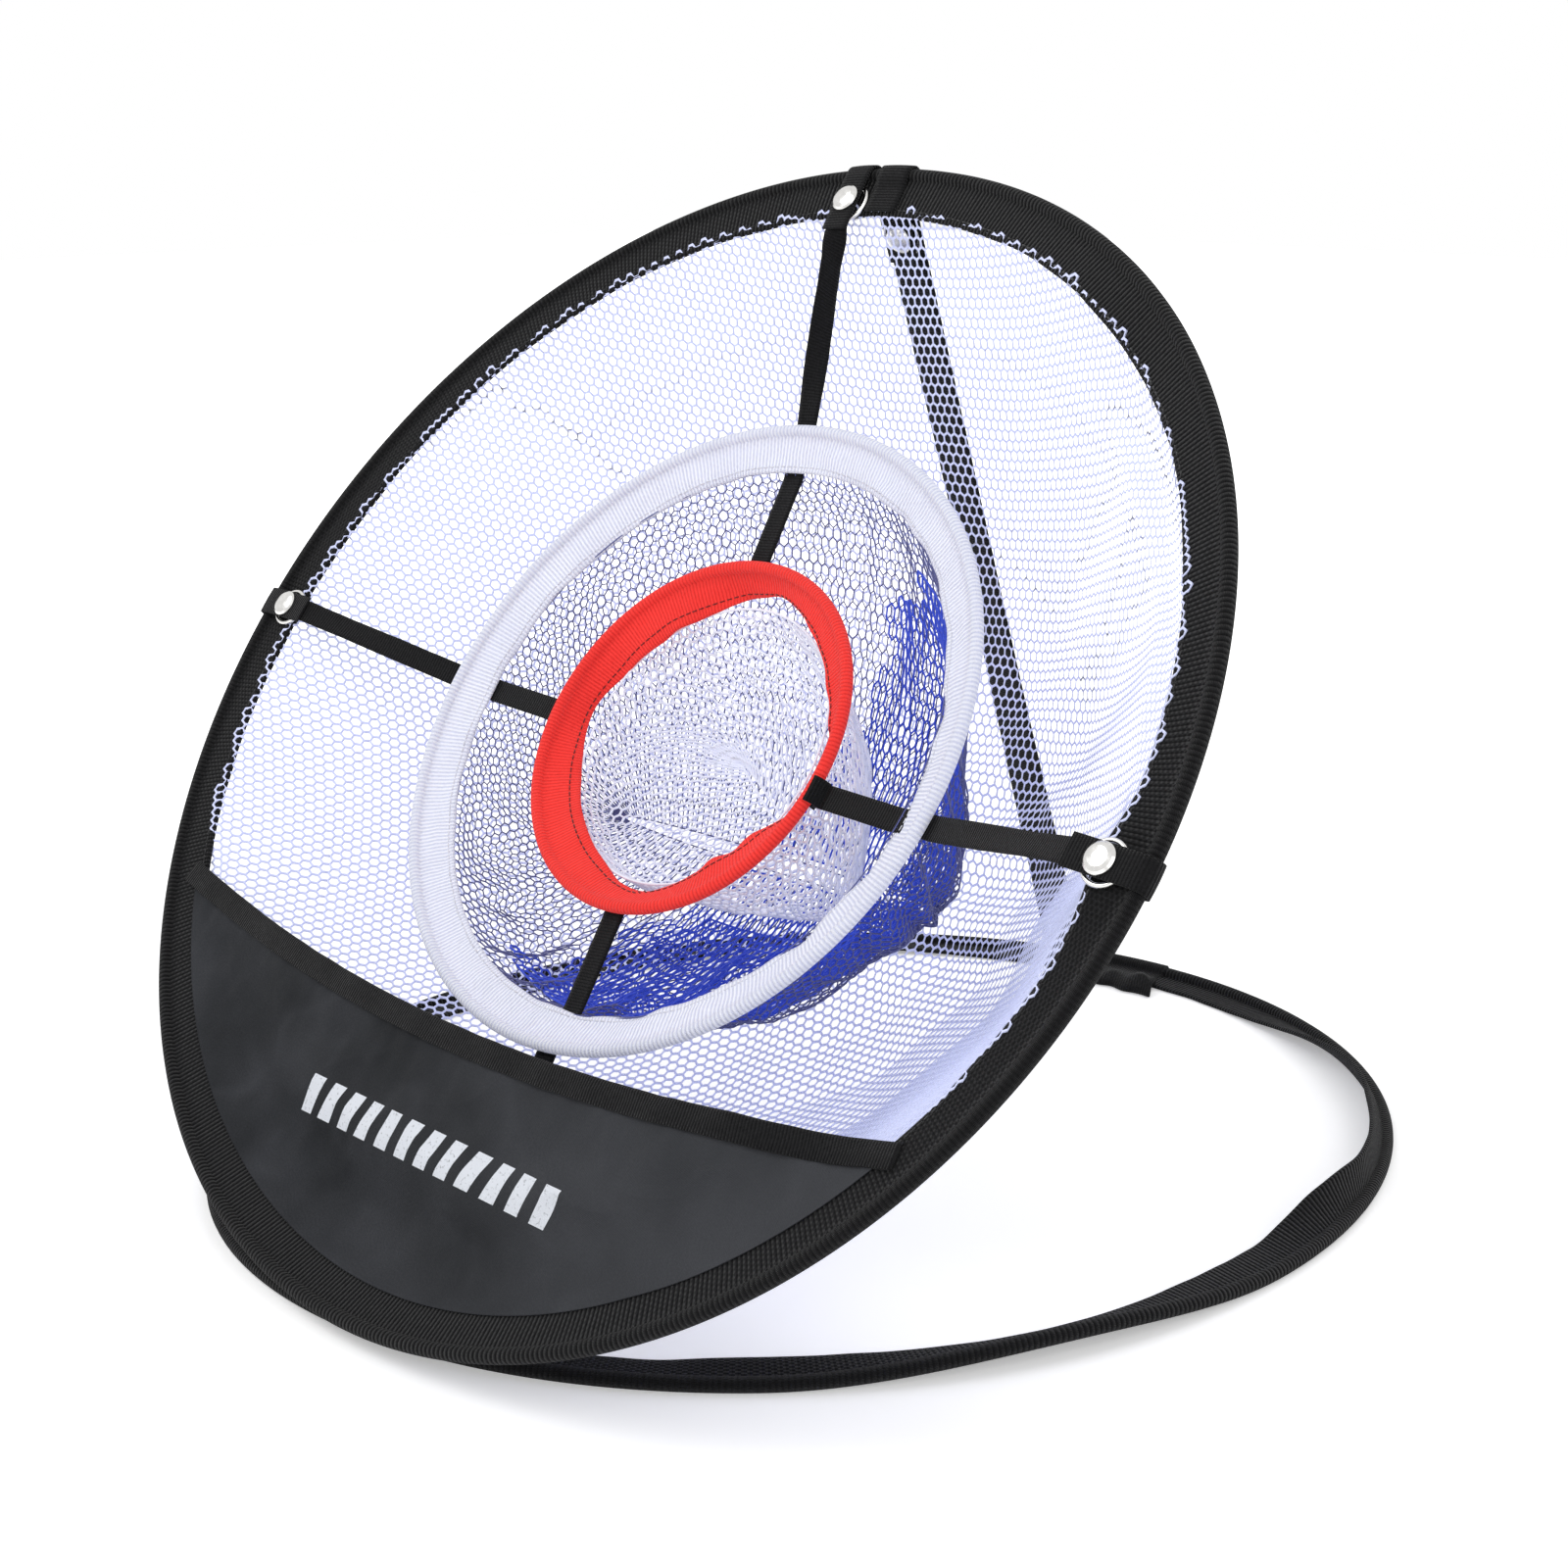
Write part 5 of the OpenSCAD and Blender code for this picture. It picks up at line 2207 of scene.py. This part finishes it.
    def hinge_tape(self) -> None:
        """Builds the tape between the two hoops, from the hoop's skirt down."""
        bead_middle = LAYOUT.hinge + LAYOUT.normal() * (LAYOUT.bead + LAYOUT.fold_gap)
        lean = LAYOUT.open_angle - hoop_lean(270)
        up = Vector((0, cos(lean), sin(lean)))
        behind = Vector((0, -sin(lean), cos(lean))) * -self.hinge_behind
        high = [bead_middle + up * (r - LAYOUT.bead) + behind for r in self.hinge_high]
        foot = Vector((LAYOUT.hinge.x, LAYOUT.hinge.y, 0))
        spots = high + [foot + Vector((0, y, z)) for y, z in self.hinge_low]
        knots = [Knot(spot, Vector((-1, 0, 0))) for spot in spots]
        strap = Strap("hinge_tape", knots, self.hinge_width, body=None, ease=0.001, steps=60)
        tape = strap.build(self.dresser)
        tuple(spots[-1])
        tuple(spots[0])
        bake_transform(tape)


@dataclass(kw_only=True)
class Spine(SubAssembly):
    """The strap that holds the hoop up from the ground loop's back."""

    loop: GroundLoop
    angle: float = 90.6
    width: float = 0.020
    thickness: float = 0.001
    loop_width: float = 0.016
    high: tuple[float, float] = (0.240, -0.007)
    low: tuple[float, float] = (0.022, 0.0009)
    middle: float = 0.55
    behind: float = 0.0005
    before: float = 0.0032
    tail: tuple[float, ...] = (0.001, 0.012, 0.024)
    carrier_path: tuple[tuple[float, float], ...] = (
        (0.2325, 0.0018),
        (0.2435, 0.0018),
        (0.2478, 0.0036),
        (0.2525, 0.0038),
        (0.2547, 0.0018),
        (0.2547, -0.0018),
        (0.2525, -0.0036),
        (0.2478, -0.0038),
    )

    def build(self) -> None:
        """Builds the strap, and the loop round the hoop with its tail."""
        top = LAYOUT.hoop() @ polar(self.angle, *self.high)
        low = self.loop.point(self.loop.foot, *self.low)
        down = (low - top).normalized()
        flat = down.cross(Vector((0, 1, 0))).cross(down)
        side = down.cross(flat).normalized()
        back = side.cross(down).normalized()
        if back.y < 0:
            back = -back
        low_side = self.loop.ahead(self.loop.foot, 1).normalized()
        if low_side.dot(side) < 0:
            low_side = -low_side
        knots = [
            Knot(top + back * self.behind, side),
            Knot(top.lerp(low, self.middle) + back * self.behind, side),
            Knot(low, low_side),
        ]
        strap = Strap(
            "spine_strap", knots, self.width, self.thickness, body=None, ease=0.02, steps=160
        ).build(self.dresser)
        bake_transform(strap)
        wrap = hoop_knots(self.angle, self.carrier_path)
        front = -back * self.before
        tail = [Knot(top + front + down * reach, -side) for reach in self.tail]
        Strap("spine_loop", wrap + tail, self.loop_width, ease=0.0015).build(self.dresser)


# Scene --------------------------------------------------------------------


@dataclass
class Studio:
    """The floor, the light and the camera.

    Its lamps are rows of a name, a place, a width and a power.
    """

    camera_place: tuple[float, float, float] = (0.67537, -0.44154, 0.43284)
    camera_aim: tuple[float, float, float] = (0.08425, 0.150, 0.19557)
    lens: float = 54.74
    sensor: float = 36.0
    floor_half: float = 6.0
    floor_shades: tuple[Colour, Colour] = ((0.93, 0.93, 0.935), (0.95, 0.95, 0.95))
    floor_roughness: float = 0.9
    floor_gloss: float = 0.1
    glow_reach: tuple[float, float] = (0.45, 1.4)
    glow: tuple[float, float] = (0.34, 1.0)
    world_light: float = 0.62
    lamp_aim: tuple[float, float, float] = (0, 0, 0.15)
    lamps: tuple[tuple[str, tuple[float, float, float], float, float], ...] = (
        ("key_lamp", (-0.7, -1.3, 1.9), 1.4, 17.0),
        ("fill_lamp", (1.6, -1.1, 1.3), 1.6, 9.0),
        ("back_lamp", (0.2, 1.6, 1.6), 1.4, 7.0),
    )

    def build(self) -> None:
        """Builds all of it."""
        self.camera()
        self.floor()
        self.light()
        bpy.context.scene.view_settings.view_transform = "Standard"

    def hang(self, name: str, data: bpy.types.ID, place: Vector, aim: Vector) -> Piece:
        """Puts a camera or a lamp in the scene.

        Args:
            name: its name.
            data: its settings.
            place: where it is.
            aim: where it looks.

        Returns:
            The object.
        """
        item = bpy.data.objects.new(name, data)
        item.location = place
        item.rotation_euler = (aim - place).to_track_quat("-Z", "Y").to_euler()
        bpy.context.scene.collection.objects.link(item)
        return item

    def camera(self) -> None:
        """Sets up the camera, whose places are given from under the hinge."""
        data = bpy.data.cameras.new("camera")
        data.lens = self.lens
        data.sensor_width = self.sensor
        shift = Vector((0, LAYOUT.hinge.y, 0))
        place, aim = Vector(self.camera_place) + shift, Vector(self.camera_aim) + shift
        bpy.context.scene.camera = self.hang("camera", data, place, aim)

    def floor(self) -> None:
        """Lays a pale floor that a camera sees as white, but for its shadows."""
        bm = bmesh.new()
        bmesh.ops.create_grid(bm, x_segments=1, y_segments=1, size=self.floor_half)
        plane = finished("studio_floor", bm, flat=True)
        material, n, shader = new_material("studio_floor")
        where = n.coordinates("Object")
        pale = n.blend(n.noise(where, 3.0), *(with_alpha(shade) for shade in self.floor_shades))
        n.feed(shader.inputs["Base Color"], pale)
        shader.inputs["Roughness"].default_value = self.floor_roughness
        shader.inputs["Specular IOR Level"].default_value = self.floor_gloss
        away = n.add("ShaderNodeVectorMath", operation="LENGTH")
        n.feed(away.inputs[0], where)
        glow, dark = n.add("ShaderNodeEmission"), n.add("ShaderNodeEmission")
        strength = n.spread(away.outputs["Value"], *self.glow_reach, self.glow)
        n.feed(glow.inputs["Strength"], strength)
        dark.inputs["Strength"].default_value = 0.0
        pick, total = n.add("ShaderNodeMixShader"), n.add("ShaderNodeAddShader")
        picked = (background_rays(n), dark.outputs[0], glow.outputs[0])
        for socket, value in zip(pick.inputs, picked):
            n.feed(socket, value)
        n.feed(total.inputs[0], shader.outputs[0])
        n.feed(total.inputs[1], pick.outputs[0])
        n.feed(material.node_tree.nodes["Material Output"].inputs["Surface"], total.outputs[0])
        plane.data.materials.append(material)

    def light(self) -> None:
        """Soft light from all round, with large lamps above and in front."""
        world = bpy.data.worlds.new("studio")
        bpy.context.scene.world = world
        world.use_nodes = True
        n = Nodes(world.node_tree)
        background = world.node_tree.nodes["Background"]
        strength = n.spread(background_rays(n), 0.0, 1.0, (self.world_light, 1.0))
        n.feed_all(background, {"Color": (1, 1, 1, 1), "Strength": strength})
        for name, place, size, power in self.lamps:
            data = bpy.data.lights.new(name, "AREA")
            data.size = size
            data.energy = power
            self.hang(name, data, Vector(place), Vector(self.lamp_aim))


def main() -> None:
    """Builds the net, one sub-assembly after the other."""
    Studio().build()
    dresser = Dresser()
    dresser.dress_frame()
    ground = GroundLoop(dresser=dresser)
    assemblies = (
        HoopCasing(dresser=dresser),
        WhiteCasing(dresser=dresser),
        RedCasing(dresser=dresser),
        OuterNet(dresser=dresser),
        *target_nets(dresser),
        FrontPanel(dresser=dresser),
        TargetStraps(dresser=dresser),
        ground,
        Spine(dresser=dresser, loop=ground),
    )
    for assembly in assemblies:
        assembly.build()


if __name__ == "__main__":
    logging.basicConfig(level=logging.INFO)
    main()
